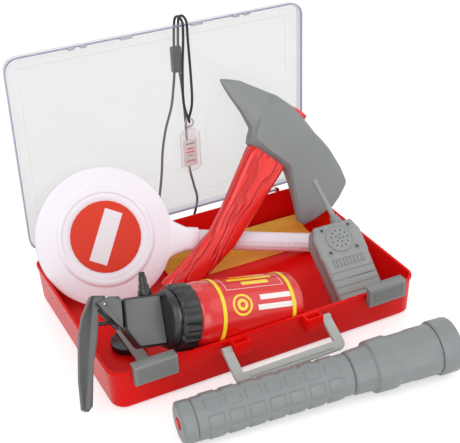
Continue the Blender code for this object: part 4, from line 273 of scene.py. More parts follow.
def make_patch_group():
    """1 inside a rectangle about a middle, 0 outside."""
    nodes, given, made = shader_group(
        "patch",
        [(label, "Float", 0.0) for label in ("U", "V", "U middle", "V middle", "U half", "V half")],
        [("Mask", "Float")])
    inside = [nodes.calc("COMPARE", given[label], given[label + " middle"], given[label + " half"])
              for label in ("U", "V")]
    nodes.put(made["Mask"], nodes.calc("MULTIPLY", *inside))
    return nodes.tree


# The plain materials: colour, colour where the slow tone is low, and roughness
PLAIN_LOOKS = {
    "red_plastic": ((0.82, 0.006, 0.004), (0.75, 0.005, 0.004), 0.28),
    "grey_plastic": ((0.225, 0.232, 0.225), (0.195, 0.202, 0.195), 0.42),
    "pale_grey_plastic": ((0.45, 0.465, 0.44), (0.41, 0.425, 0.4), 0.42),
    "axe_grey_plastic": ((0.25, 0.265, 0.268), (0.215, 0.23, 0.232), 0.4),
    "torch_grey_plastic": ((0.25, 0.272, 0.275), (0.218, 0.238, 0.242), 0.42),
    "radio_grey_plastic": ((0.31, 0.325, 0.32), (0.27, 0.285, 0.28), 0.46),
    "black_plastic": ((0.02, 0.02, 0.021), (0.012, 0.012, 0.013), 0.22),
    "white_plastic": ((0.93, 0.9, 0.965), (0.9, 0.865, 0.945), 0.34),
    # Dark grey for the radio's sunk screws and speaker holes, painted shade of their recesses
    "painted_recess_shade": ((0.07, 0.075, 0.075), (0.05, 0.053, 0.053), 0.6),
    "plated_steel": ((0.62, 0.62, 0.64), (0.5, 0.5, 0.52), 0.25),
    "yellow_band": ((0.92, 0.7, 0.03), (0.86, 0.62, 0.02), 0.25),
    "reflector": ((0.85, 0.85, 0.87), (0.8, 0.8, 0.82), 0.1),
    "cell_wrap": ((0.6, 0.36, 0.03), (0.52, 0.3, 0.02), 0.35),
}
METALS = ("plated_steel", "reflector")
# Specular level where it isn't the usual
USUAL_SPECULAR = 0.5
SPECULAR = {"red_plastic": 0.1, "white_plastic": 0.35}
# Clear plastic: its colours face-on and at its edges, and how its opacity grows from the one to the other
CLEAR_BODY = (0.97, 0.965, 0.98)
CLEAR_EDGE = (0.55, 0.5, 0.66)
CLEAR_BLEND = 0.35
CLEAR_ALPHA = 0.1
CLEAR_EDGE_ALPHA = 0.75
CLEAR_ALPHA_POWER = 1.6
CLEAR_GRAIN_DEPTH = 0.000004
CLEAR_ROUGHNESS = 0.1
CLEAR_IOR = 1.45


class Library:
    """The shader groups and the materials that more than one piece uses."""

    def __init__(self):
        self.surface = make_surface_group()
        self.axes = make_axes_group()
        self.patch = make_patch_group()
        self.red = self.plain("red_plastic")
        self.grey = self.plain("grey_plastic")
        self.torch_grey = self.plain("torch_grey_plastic")
        self.radio_grey = self.plain("radio_grey_plastic")
        self.black = self.plain("black_plastic")
        self.white = self.plain("white_plastic")
        self.dark = self.plain("painted_recess_shade")
        self.steel = self.plain("plated_steel")
        self.clear = self.clear_plastic("clear_plastic", CLEAR_BODY, CLEAR_EDGE)

    def start(self, name):
        """A material with its Nodes, its shader and its object coordinates."""
        material = bpy.data.materials.new(name)
        material.use_nodes = True
        nodes = Nodes(material.node_tree)
        coordinates = nodes.add("ShaderNodeTexCoord").outputs["Object"]
        return material, nodes, material.node_tree.nodes["Principled BSDF"], coordinates

    def texture(self, nodes, shader, coordinates, roughness):
        """Roughness and normal from the moulded surface. Returns the socket of its slow tone."""
        surface = nodes.use(self.surface, Vector=coordinates)
        rough = nodes.calc("MULTIPLY_ADD", surface.outputs["Grain"], ROUGHNESS_SPREAD,
                           roughness - ROUGHNESS_SPREAD / 2)
        nodes.wire(shader, Roughness=rough, Normal=surface.outputs["Normal"])
        return surface.outputs["Tone"]

    def finish(self, nodes, shader, coordinates, colour, shade, roughness):
        """Colour, roughness and normal from the moulded surface. Returns the toned colour's socket."""
        tone = self.texture(nodes, shader, coordinates, roughness)
        toned = nodes.mix(tone, (*shade, 1), (*colour, 1))
        nodes.wire(shader, Base_Color=toned)
        return toned

    def plain(self, name):
        """One of the plain materials, by its name."""
        material, nodes, shader, coordinates = self.start(name)
        self.finish(nodes, shader, coordinates, *PLAIN_LOOKS[name])
        nodes.wire(shader, Metallic=float(name in METALS),
                   Specular_IOR_Level=SPECULAR.get(name, USUAL_SPECULAR))
        return material

    def clear_plastic(self, name, body, edge):
        """Clear plastic whose edges and grazing faces have a colour of their own."""
        material, nodes, shader, coordinates = self.start(name)
        surface = nodes.use(self.surface, Vector=coordinates, Grain_depth=CLEAR_GRAIN_DEPTH)
        weight = nodes.add("ShaderNodeLayerWeight", {"Blend": CLEAR_BLEND}).outputs["Facing"]
        grazing = nodes.calc("POWER", weight, CLEAR_ALPHA_POWER)
        nodes.wire(shader, Base_Color=nodes.mix(weight, (*body, 1), (*edge, 1)),
                   Roughness=nodes.calc("MULTIPLY", surface.outputs["Grain"], CLEAR_ROUGHNESS),
                   Normal=surface.outputs["Normal"], IOR=CLEAR_IOR,
                   Alpha=nodes.calc("MULTIPLY_ADD", grazing, CLEAR_EDGE_ALPHA, CLEAR_ALPHA))
        return material


def geometry_group(name, inputs):
    """An empty Geometry Nodes group with named inputs."""
    tree = bpy.data.node_groups.new(name, "GeometryNodeTree")
    for label, kind in inputs:
        tree.interface.new_socket(label, in_out="INPUT", socket_type="NodeSocket" + kind)
    tree.interface.new_socket("Geometry", in_out="OUTPUT", socket_type="NodeSocketGeometry")
    return Nodes(tree), tree.nodes.new("NodeGroupInput").outputs, tree.nodes.new("NodeGroupOutput").inputs


def close_group(nodes, made, points, instance, material):
    """Puts an instance on each point, realises them and gives them the material."""
    placed = nodes.add("GeometryNodeInstanceOnPoints", {"Points": points, "Instance": instance})
    solid = nodes.add("GeometryNodeRealizeInstances", {"Geometry": placed.outputs[0]})
    painted = nodes.add("GeometryNodeSetMaterial", {"Geometry": solid.outputs[0], "Material": material})
    nodes.put(made["Geometry"], painted.outputs[0])
    return nodes.tree


def make_bars_group():
    """Equal bars in a row."""
    nodes, given, made = geometry_group("bars", (
        ("Count", "Int"), ("Step", "Vector"), ("Start", "Vector"),
        ("Size", "Vector"), ("Material", "Material")))
    line = nodes.add("GeometryNodeMeshLine", {"Count": given["Count"], "Start Location": given["Start"],
                                              "Offset": given["Step"]})
    bar = nodes.add("GeometryNodeMeshCube", {"Size": given["Size"]})
    return close_group(nodes, made, line.outputs[0], bar.outputs[0], given["Material"])


STUD_SIDES = 12


def make_studs_group():
    """Round studs on a circle."""
    nodes, given, made = geometry_group("studs", (
        ("Count", "Int"), ("Circle", "Float"), ("Radius", "Float"),
        ("Height", "Float"), ("Material", "Material")))
    circle = nodes.add("GeometryNodeMeshCircle", {"Vertices": given["Count"], "Radius": given["Circle"]})
    stud = nodes.add("GeometryNodeMeshCylinder", {"Vertices": STUD_SIDES, "Radius": given["Radius"],
                                                  "Depth": given["Height"]})
    return close_group(nodes, made, circle.outputs[0], stud.outputs[0], given["Material"])


def repeat(name, group, place, body, slot, **inputs):
    """A piece made by a repeating group, at a place in the frame."""
    obj = add_object(name, bpy.data.meshes.new(name))
    modifier = obj.modifiers.new("repeat", "NODES")
    modifier.node_group = group
    for item in group.interface.items_tree:
        if item.in_out == "INPUT" and item.name in inputs:
            modifier[item.identifier] = inputs[item.name]
    apply_modifiers(obj)
    obj.data.transform(place)
    return finish_piece(obj, body, slot)


def axes_matrix(origin, x_axis, z_axis):
    z_axis = Vector(z_axis).normalized()
    y_axis = z_axis.cross(Vector(x_axis)).normalized()
    return Matrix.Translation(origin) @ Matrix((y_axis.cross(z_axis), y_axis, z_axis)).transposed().to_4x4()


def paint(material, *nodes):
    for node in nodes:
        data = node_object(node).data
        data.materials.clear()
        data.materials.append(material)


# The case

# The ribs on a latch's front, as shares of the latch, and in metres, and the knurl on its top
RIB_ROW_RATIO = 0.74
RIB_HEIGHT_RATIO = 0.52
RIB_RISE = 0.0006
RIB_DROP = 0.001
KNURL_INSET = 0.002
KNURL_SETBACK = 0.0014
KNURL_LENGTH = 0.0026


def make_latch(library, bars, side, settings):
    """A latch with fine ribs on its front and a knurled top."""
    latch = "latch_" + side
    rounded(latch, latch, "grey_plastic", library.grey, settings.edge)
    low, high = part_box(latch)
    centre = (low + high) / 2
    count = settings.latch_ribs
    span = RIB_ROW_RATIO * (high.x - low.x)
    step = span / (count - 1)
    front = Matrix.Translation((centre.x - span / 2, low.y + RIB_RISE, centre.z - RIB_DROP))
    repeat(latch + "_ribs", bars, front, latch, "grey_plastic", Count=count, Step=(step, 0, 0),
           Size=(step / 2, RIB_RISE, RIB_HEIGHT_RATIO * (high.z - low.z)), Material=library.grey)
    top = Matrix.Translation((low.x + KNURL_INSET, high.y - KNURL_SETBACK, high.z))
    knurl_step = (high.x - low.x - 2 * KNURL_INSET) / (count - 1)
    repeat(latch + "_knurl", bars, top, latch, "grey_plastic", Count=count, Step=(knurl_step, 0, 0),
           Size=(step / 2, KNURL_LENGTH, RIB_RISE), Material=library.grey)


def make_case(library, bars, settings):
    rounded("case_tray", "case", "red_plastic", library.red, settings.edge, SHELL_EDGE)
    for side in ("left", "right"):
        make_latch(library, bars, side, settings)
        paint(library.steel, "hinge_pin_" + side, "latch_pin_" + side)
    rounded("bail_handle", "handle", "grey_plastic", library.plain("pale_grey_plastic"), settings.edge)
    rounded("spare_strip", "case", "grey_plastic", library.grey, settings.edge / 2)
    rounded("spare_cap", "case", "black_plastic", library.black, settings.edge / 2)
    paint(make_paper(library), "paper_sheet")
    rounded("lid", "lid", "clear_lid", make_lid_plastic(library), settings.edge / 2, SHELL_EDGE)


# The card's colours: the front one is its orange print darkened with painted shade
CARD_FRONT_SHADED = (0.9, 0.36, 0.03, 1)
CARD_BACK = (1.0, 0.68, 0.06, 1)
CARD_BACK_RIGHT = (1.0, 0.54, 0.06, 1)
CARD_ROUGHNESS = 0.45


def make_paper(library):
    """Printed card, orange in front and darkened there with painted shade, yellow at the back and orange
    again on its right.
    """
    material, nodes, shader, coordinates = library.start("printed_and_shaded_card")
    library.texture(nodes, shader, coordinates, CARD_ROUGHNESS)
    place = nodes.split(coordinates)
    low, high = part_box("paper_sheet")
    # From the front, which gets the orange with painted shade, to the back
    depth = nodes.ramp(place["Y"], low.y, high.y)
    back = nodes.mix(nodes.ramp(place["X"], (low.x + high.x) / 2, high.x), CARD_BACK, CARD_BACK_RIGHT)
    nodes.wire(shader, Base_Color=nodes.mix(depth, CARD_FRONT_SHADED, back))
    return material


# The lid's front rim: its place, half its depth and where it starts, in metres
LID_RIM_Y = 0.1255
LID_RIM_HALF = 0.0018
LID_RIM_LOW_Z = 0.0539
LID_RIM_COLOUR = (0.2, 0.175, 0.36, 1)
LID_RIM_ALPHA = 0.72
LID_WALL_COLOUR = (0.34, 0.33, 0.42, 1)
LID_PANEL_SHADE = (0.36, 0.36, 0.375, 1)
LID_PANEL_COLOUR = (0.44, 0.44, 0.455, 1)
LID_PANEL_ALPHA = 0.235
LID_WALL_MORE_ALPHA = 0.12
# How far a face turns from the lid's broad face before it counts as a wall: it starts, and it is all wall
LID_FACE_START = 0.97
LID_FACE_END = 0.6
LID_ROUGHNESS = 0.04
LID_ROUGHNESS_SPREAD = 0.08


def make_lid_plastic(library):
    """Clear grey plastic: a violet front rim, greyer walls and clearer broad faces."""
    material, nodes, shader, coordinates = library.start("lid_clear_plastic")
    surface = nodes.use(library.surface, Vector=coordinates, Grain_depth=CLEAR_GRAIN_DEPTH)
    place = nodes.split(coordinates)
    facing = nodes.split(nodes.add("ShaderNodeTexCoord").outputs["Normal"])
    wall = nodes.ramp(nodes.calc("ABSOLUTE", facing["Y"]), LID_FACE_START, LID_FACE_END)
    rim = nodes.calc("MULTIPLY", nodes.calc("COMPARE", place["Y"], LID_RIM_Y, LID_RIM_HALF),
                     nodes.calc("GREATER_THAN", place["Z"], LID_RIM_LOW_Z))
    panel = nodes.mix(surface.outputs["Tone"], LID_PANEL_SHADE, LID_PANEL_COLOUR)
    colour = nodes.mix(wall, panel, LID_WALL_COLOUR)
    alpha = nodes.calc("MULTIPLY_ADD", wall, LID_WALL_MORE_ALPHA, LID_PANEL_ALPHA)
    rough = nodes.calc("MULTIPLY_ADD", surface.outputs["Grain"], LID_ROUGHNESS_SPREAD, LID_ROUGHNESS)
    nodes.wire(shader, Base_Color=nodes.mix(rim, colour, LID_RIM_COLOUR),
               Alpha=nodes.calc("MAXIMUM", alpha, nodes.calc("MULTIPLY", rim, LID_RIM_ALPHA)),
               Roughness=rough, Normal=surface.outputs["Normal"])
    return material


# The paddle

# The paddle's own directions: along its handle to the grip, and out of its face
PADDLE_ALONG = Vector((0.9575, -0.1712, -0.2322)).normalized()
PADDLE_FACE = Vector((-0.0455, -0.8844, 0.4645)).normalized()
SIGN_RED = (0.72, 0.05, 0.024, 1)
SIGN_WHITE = (0.86, 0.83, 0.86, 1)
SIGN_ROUGHNESS = 0.4
SIGN_SPECULAR = 0.16
# The sign's bar: its turn in radians from the paddle's cross direction, and half its length and width
BAR_TURN = math.radians(15)
BAR_HALF_LENGTH = 0.031
BAR_HALF_WIDTH = 0.0105


def make_sign(library):
    """A red disc with a plain white bar."""
    material, nodes, shader, coordinates = library.start("sign_face")
    library.texture(nodes, shader, coordinates, SIGN_ROUGHNESS)
    local = nodes.use(library.axes, Vector=coordinates, Origin=paddle_centre(), Along=PADDLE_ALONG,
                      Across=PADDLE_FACE.cross(PADDLE_ALONG), Out=PADDLE_FACE)
    along, across = local.outputs["Along"], local.outputs["Across"]
    turned_u = nodes.calc("ADD", nodes.calc("MULTIPLY", along, math.sin(BAR_TURN)),
                          nodes.calc("MULTIPLY", across, math.cos(BAR_TURN)))
    turned_v = nodes.calc("SUBTRACT", nodes.calc("MULTIPLY", along, math.cos(BAR_TURN)),
                          nodes.calc("MULTIPLY", across, math.sin(BAR_TURN)))
    bar = nodes.use(library.patch, U=turned_u, V=turned_v, U_half=BAR_HALF_LENGTH, V_half=BAR_HALF_WIDTH)
    nodes.wire(shader, Base_Color=nodes.mix(bar.outputs[0], SIGN_RED, SIGN_WHITE),
               Specular_IOR_Level=SIGN_SPECULAR)
    return material


# The disc's section in metres: its radius and half thickness, and the label's recess
DISC_RADIUS = 0.0795
DISC_HALF = 0.0045
LABEL_RADIUS = 0.0413
LABEL_RECESS = 0.0006
# The raised ring: its radius, half width and rise, and its foot's rise and reaches
RING_RADIUS = 0.053
RING_HALF_WIDTH = 0.00352
RING_RISE = 0.00154
FOOT_RISE = 0.00066
FOOT_INWARD = 0.0044
FEET_OUTWARD = (0.00462, 0.00594)
# The slope to the rounded edge, by inset and drop, and the edge's radius and drop
SLOPE = ((0.0064, 0.00048), (0.0048, 0.00064))
DISC_EDGE = 0.0016
EDGE_DROP = 0.00144
RING_STEPS = 6
EDGE_STEPS = 4


def paddle_centre():
    return (middle("label_front") + middle("label_back")) / 2


def disc_profile():
    """The disc's section, from the middle of its front over its edge to the middle of its back."""
    face = [(0, DISC_HALF - LABEL_RECESS), (LABEL_RADIUS, DISC_HALF - LABEL_RECESS),
            (LABEL_RADIUS + LABEL_RECESS, DISC_HALF), (RING_RADIUS - FOOT_INWARD, DISC_HALF + FOOT_RISE)]
    for step in range(RING_STEPS + 1):
        angle = math.pi * step / RING_STEPS
        face.append((RING_RADIUS - RING_HALF_WIDTH * math.cos(angle),
                     DISC_HALF + FOOT_RISE + RING_RISE * math.sin(angle)))
    face += [(RING_RADIUS + reach, DISC_HALF) for reach in FEET_OUTWARD]
    face += [(DISC_RADIUS - inset, DISC_HALF - drop) for inset, drop in SLOPE]
    for step in range(EDGE_STEPS + 1):
        angle = math.pi / 2 * (1 - step / EDGE_STEPS)
        face.append((DISC_RADIUS - DISC_EDGE * (1 - math.cos(angle)),
                     DISC_HALF - EDGE_DROP - DISC_EDGE * (1 - math.sin(angle))))
    return face + [(reach, -level) for reach, level in reversed(face)]


def make_paddle(library, settings):
    """The paddle, with its disc as one smooth turned shell that stands for the faceted solid."""
    disc = turned("paddle_disc_finish", disc_profile(), FULL_STEPS, library.white)
    disc.data.transform(axes_matrix(paddle_centre(), PADDLE_ALONG, PADDLE_FACE))
    finish_piece(disc, "paddle", "white_plastic", "paddle_disc")
    rounded("paddle_neck", "paddle", "white_plastic", library.white, settings.edge, SHELL_EDGE)
    paint(library.white, "paddle_grip", "grip_end_cap")
    paint(make_sign(library), "label_front", "label_back")


# The axe

# The axe's own directions, up its handle and out of its front face, and a point on its handle
AXE_UP = Vector((0.6865, 0.2962, 0.6641)).normalized()
AXE_FACE = Vector((0.0639, -0.9369, 0.3437)).normalized()
AXE_ORIGIN = Vector((0.0236, 0.0416, 0.0547))
HANDLE_COLOUR = (0.9, 0.026, 0.02)
HANDLE_SHADE = (0.82, 0.018, 0.015)
# The groove colour is a darker red painted into the carved grooves as painted shade
HANDLE_GROOVE_SHADE = (0.62, 0.01, 0.009, 1)
HANDLE_ROUGHNESS = 0.26
# The carved strokes: their spread per metre along, across and out of the handle, their waves, width and depth
STROKES_ALONG = 30.0
STROKES_ACROSS = 150.0
STROKES_OUT = 90.0
STROKE_SCALE = 0.14
STROKE_WANDER = 9.0
STROKE_DETAIL = 1.0
STROKE_DETAIL_SCALE = 3.6
STROKE_WIDTH = 0.4
STROKE_DEPTH = 0.0012
STROKE_STRENGTH = 0.9
AXE_EDGE_RATIO = 1.2


def make_axe_handle(library):
    """Red plastic with carved grain that runs up the handle in long strokes, with painted shade in its
    grooves.
    """
    material, nodes, shader, coordinates = library.start("carved_red_plastic")
    toned = library.finish(nodes, shader, coordinates, HANDLE_COLOUR, HANDLE_SHADE, HANDLE_ROUGHNESS)
    local = nodes.use(library.axes, Vector=coordinates, Origin=AXE_ORIGIN, Along=AXE_UP,
                      Across=AXE_UP.cross(AXE_FACE), Out=AXE_FACE)
    along = nodes.calc("MULTIPLY", local.outputs["Along"], STROKES_ALONG)
    out = nodes.calc("MULTIPLY", local.outputs["Out"], STROKES_OUT)
    across = nodes.calc("MULTIPLY_ADD", local.outputs["Across"], STROKES_ACROSS, out)
    stretched = nodes.add("ShaderNodeCombineXYZ", {"X": along, "Y": across, "Z": out}).outputs[0]
    grain = nodes.add("ShaderNodeTexWave", {
        "Vector": stretched, "Scale": STROKE_SCALE, "Distortion": STROKE_WANDER, "Detail": STROKE_DETAIL,
        "Detail Scale": STROKE_DETAIL_SCALE}, bands_direction="Y")
    groove = nodes.ramp(grain.outputs["Fac"], 0, STROKE_WIDTH, interpolation_type="SMOOTHSTEP")
    moulded = shader.inputs["Normal"].links[0].from_socket
    # The grooves get the darker red as painted shade
    nodes.wire(shader, Base_Color=nodes.mix(groove, HANDLE_GROOVE_SHADE, toned),
               Normal=nodes.bump(groove, STROKE_DEPTH, STROKE_STRENGTH, Normal=moulded))
    return material


def make_axe(library, settings):
    grey = library.plain("axe_grey_plastic")
    rounded("axe_head", "axe", "grey_axe", grey, AXE_EDGE_RATIO * settings.edge, SHAPED_EDGE)
    rounded("axe_handle", "axe", "red_tool_plastic", make_axe_handle(library), settings.edge / 2, SHARP_EDGE)


# The extinguisher

BOTTLE_COLOUR = (0.72, 0.01, 0.008)
BOTTLE_SHADE = (0.64, 0.007, 0.006)
BOTTLE_ROUGHNESS = 0.2
BOTTLE_COAT = 0.4
BOTTLE_COAT_ROUGHNESS = 0.08
PRINT_YELLOW = (0.92, 0.68, 0.02, 1)
PRINT_WHITE = (0.86, 0.82, 0.8, 1)
# The print, by the turn in radians round the bottle from its front and the level in metres over the low band
PANEL_TURNS = (1.16, -2.0)
PANEL_LEVEL = 0.04
PANEL_HALF = (0.6, 0.034)
PANEL_INSIDE_HALF = (0.585, 0.0335)
PANEL_ROWS = ((0.34, 0.029), (0.1, 0.021), (-0.14, 0.0265), (-0.38, 0.016))
PANEL_ROW_LEVEL = 0.033
PANEL_ROW_HALF = 0.075
BADGE_TURNS = (0.05, 3.05)
BADGE_LEVEL = 0.061
BADGE_RADII = (0.0115, 0.0092, 0.0062, 0.003)
BADGE_ROWS = ((0.16, 0.019), (-0.14, 0.023))
BADGE_ROW_LEVEL = 0.02
BADGE_ROW_HALF = 0.08
# The bottle's own sizes in metres, from its base up
BOTTLE_RADIUS = 0.0348
BOTTLE_BODY = 0.11
BOTTLE_SHOULDER = 0.124
BOTTLE_MOUTH = 0.1405
BOTTLE_NECK = 0.03
BOTTLE_BORE = 0.023
BOTTLE_WALL = 0.0014
BOTTLE_FILLET = 0.007
# The ring that the bottle stands on, and the hollow inside it: its radius, its level there and in the middle
FOOT_RADIUS = 0.02088
HOLLOW_RADIUS = 0.0174
HOLLOW_LEVEL = 0.0028
HOLLOW_TOP = 0.0035
BOTTLE_ARC_STEPS = 8
LOW_BAND_LEVEL = 0.0161
BAND_HALF = 0.0021
BAND_GAP = 0.0003
BAND_THICKNESS = 0.0005
PUMP_ROUGHNESS = 0.34
# Grey painted on the pump's broad flat sides as a painted sheen
PUMP_SIDE_SHEEN = (0.125, 0.127, 0.125, 1)
# How far a face of the pump looks sideways where its painted grey sheen starts, and where it is full
PUMP_SIDE_START = 0.965
PUMP_SIDE_END = 0.995
LEVER_EDGE_RATIO = 1.6


def bottle_axes():
    """The middle of the low band, and the directions along the bottle, to its front and to its nozzle."""
    joints = {joint["name"]: joint for joint in frame["joints"]}
    along = Vector(joints["screw_cap_turn"]["axis"]).normalized()
    front = Vector(joints["lever_squeeze"]["axis"]).normalized()
    return middle("band_low"), along, front, along.cross(front)


def make_bottle_print(library):
    """Glossy red with a plain framed panel, a badge and bars, twice round the bottle."""
    material, nodes, shader, coordinates = library.start("printed_red_bottle")
    toned = library.finish(nodes, shader, coordinates, BOTTLE_COLOUR, BOTTLE_SHADE, BOTTLE_ROUGHNESS)
    origin, along, front, nozzle = bottle_axes()
    local = nodes.use(library.axes, Vector=coordinates, Origin=origin, Along=along, Across=nozzle, Out=front)
    turn = nodes.calc("ARCTAN2", local.outputs["Across"], local.outputs["Out"])
    level = local.outputs["Along"]
    colour = toned

    def patch(colour, ink, u, v, u_half, v_half):
        mask = nodes.use(library.patch, U=turn, V=level, U_middle=u, V_middle=v, U_half=u_half, V_half=v_half)
        return nodes.mix(mask.outputs[0], colour, ink)

    for u in PANEL_TURNS:
        colour = patch(colour, PRINT_WHITE, u, PANEL_LEVEL, *PANEL_HALF)
        colour = patch(colour, toned, u, PANEL_LEVEL, *PANEL_INSIDE_HALF)
        for row, width in PANEL_ROWS:
            colour = patch(colour, PRINT_YELLOW, u + row, PANEL_ROW_LEVEL + width / 4, PANEL_ROW_HALF, width)
    for u in BADGE_TURNS:
        high = nodes.calc("SUBTRACT", level, BADGE_LEVEL)
        wide = nodes.calc("MULTIPLY", nodes.calc("SUBTRACT", turn, u), BOTTLE_RADIUS)
        square = nodes.calc("ADD", nodes.calc("POWER", high, 2), nodes.calc("POWER", wide, 2))
        reach = nodes.calc("SQRT", square)
        for radius, ink in zip(BADGE_RADII, (PRINT_YELLOW, toned, PRINT_YELLOW, toned)):
            colour = nodes.mix(nodes.calc("LESS_THAN", reach, radius), colour, ink)
        for row, width in BADGE_ROWS:
            colour = patch(colour, PRINT_WHITE, u + row, BADGE_ROW_LEVEL, BADGE_ROW_HALF, width)
    nodes.wire(shader, Base_Color=colour, Coat_Weight=BOTTLE_COAT, Coat_Roughness=BOTTLE_COAT_ROUGHNESS)
    return material


def make_pump_plastic(library):
    """Black plastic whose broad flat sides are painted grey as a painted sheen."""
    material, nodes, shader, coordinates = library.start("pump_black_plastic")
    colours = PLAIN_LOOKS["black_plastic"][:2]
    toned = library.finish(nodes, shader, coordinates, *colours, PUMP_ROUGHNESS)
    facing = nodes.dot(nodes.add("ShaderNodeTexCoord").outputs["Normal"], bottle_axes()[2])
    side = nodes.ramp(nodes.calc("ABSOLUTE", facing), PUMP_SIDE_START, PUMP_SIDE_END)
    # The broad flat sides get the painted grey sheen
    nodes.wire(shader, Base_Color=nodes.mix(side, toned, PUMP_SIDE_SHEEN))
    return material


def bottle_profile():
    """The bottle's section, from the mouth's inside down its outer side and up its inner side."""
    profile = [(BOTTLE_BORE, BOTTLE_MOUTH), (BOTTLE_NECK, BOTTLE_MOUTH),
               (BOTTLE_NECK, BOTTLE_SHOULDER)]
    turns = [math.pi / 2 * step / BOTTLE_ARC_STEPS for step in range(BOTTLE_ARC_STEPS + 1)]
    for angle in turns:
        profile.append((BOTTLE_NECK + (BOTTLE_RADIUS - BOTTLE_NECK) * math.sin(angle),
                        BOTTLE_SHOULDER - (BOTTLE_SHOULDER - BOTTLE_BODY) * (1 - math.cos(angle))))
    for angle in turns:
        profile.append((BOTTLE_RADIUS - BOTTLE_FILLET * (1 - math.cos(angle)),
                        BOTTLE_FILLET * (1 - math.sin(angle))))
    inner = BOTTLE_RADIUS - BOTTLE_WALL
    return profile + [
        (FOOT_RADIUS, 0), (HOLLOW_RADIUS, HOLLOW_LEVEL), (0, HOLLOW_TOP), (0, HOLLOW_TOP + BOTTLE_WALL),
        (HOLLOW_RADIUS, HOLLOW_LEVEL + BOTTLE_WALL), (BOTTLE_RADIUS - BOTTLE_FILLET, 2 * BOTTLE_WALL),
        (inner, BOTTLE_FILLET + BOTTLE_WALL), (inner, BOTTLE_BODY), (BOTTLE_BORE, BOTTLE_SHOULDER),
        (BOTTLE_BORE, BOTTLE_MOUTH)]


def make_extinguisher(library, settings):
    """The extinguisher, with smooth turned shells that stand for the faceted bottle and bands."""
    pump = make_pump_plastic(library)
    origin, along, _, nozzle = bottle_axes()
    base = origin - along * LOW_BAND_LEVEL
    upright = axes_matrix(base, nozzle, along)
    bottle = turned("bottle_finish", bottle_profile(), FULL_STEPS, make_bottle_print(library))
    bottle.data.transform(upright)
    finish_piece(bottle, "extinguisher", "red_bottle", "bottle")
    yellow = library.plain("yellow_band")
    for node in ("band_low", "band_high"):
        level = (middle(node) - base).dot(along)
        inner = BOTTLE_RADIUS + BAND_GAP
        outer = inner + BAND_THICKNESS
        ring = [(outer, level + BAND_HALF), (outer, level - BAND_HALF), (inner, level - BAND_HALF),
                (inner, level + BAND_HALF), (outer, level + BAND_HALF)]
        band = turned(node + "_finish", ring, FULL_STEPS, yellow)
        band.data.transform(upright)
        finish_piece(band, "extinguisher", "band_yellow", node)
    rounded("pump_body", "extinguisher", "black_plastic", pump, settings.edge / 2, SHELL_EDGE)
    rounded("pump_cover", "extinguisher", "black_plastic", pump, settings.edge)
    rounded("lever", "lever", "black_plastic", pump, LEVER_EDGE_RATIO * settings.edge, LEVER_EDGE)
    rounded("screw_cap", "screw_cap", "black_plastic", library.black, settings.edge / 3, SHELL_EDGE)
    rounded("nozzle", "extinguisher", "black_plastic", library.black, settings.edge / 4)
    paint(library.black, "piston_rod")
    paint(library.steel, "lever_pin", "lever_spring")
    paint(library.clear, "dip_tube")


# The radio

# The radio's relief in metres: its face over the screws' middles, the speaker over the face, rims and holes,
# which are dark discs of painted shade
SCREW_DEPTH = 0.003
SPEAKER_RISE = 0.0012
RELIEF_RISE = 0.0006
HOLE_RADIUS = 0.001
HOLE_HALF_DEPTH = 0.00015
# Holes and circle of each ring of the speaker, and the sections of its rim and of a screw's boss
HOLE_RINGS = ((5, 0.0045), (11, 0.0098))
RIM_RADII = (0.016, 0.0156, 0.0148, 0.0144)
BOSS_RADII = (0.0037, 0.0034, 0.0024, 0.0019)
GRILLE_DROP = 0.0275
GRILLE_SINK = 0.0018
GRILLE_WIDTH = 0.034
GRILLE_HEIGHT = 0.0078
GRILLE_DEPTH = 0.0012


def add_ring(name, radii, steps, place, library):
    """A low turned ring on the radio's face: outer foot, outer top, inner top and inner foot."""
    levels = (0.0, RELIEF_RISE, RELIEF_RISE, 0.0)
    ring = turned(name, [*zip(radii, levels), (radii[0], 0.0)], steps, library.radio_grey)
    ring.data.transform(place)
    finish_piece(ring, "radio", "grey_radio")


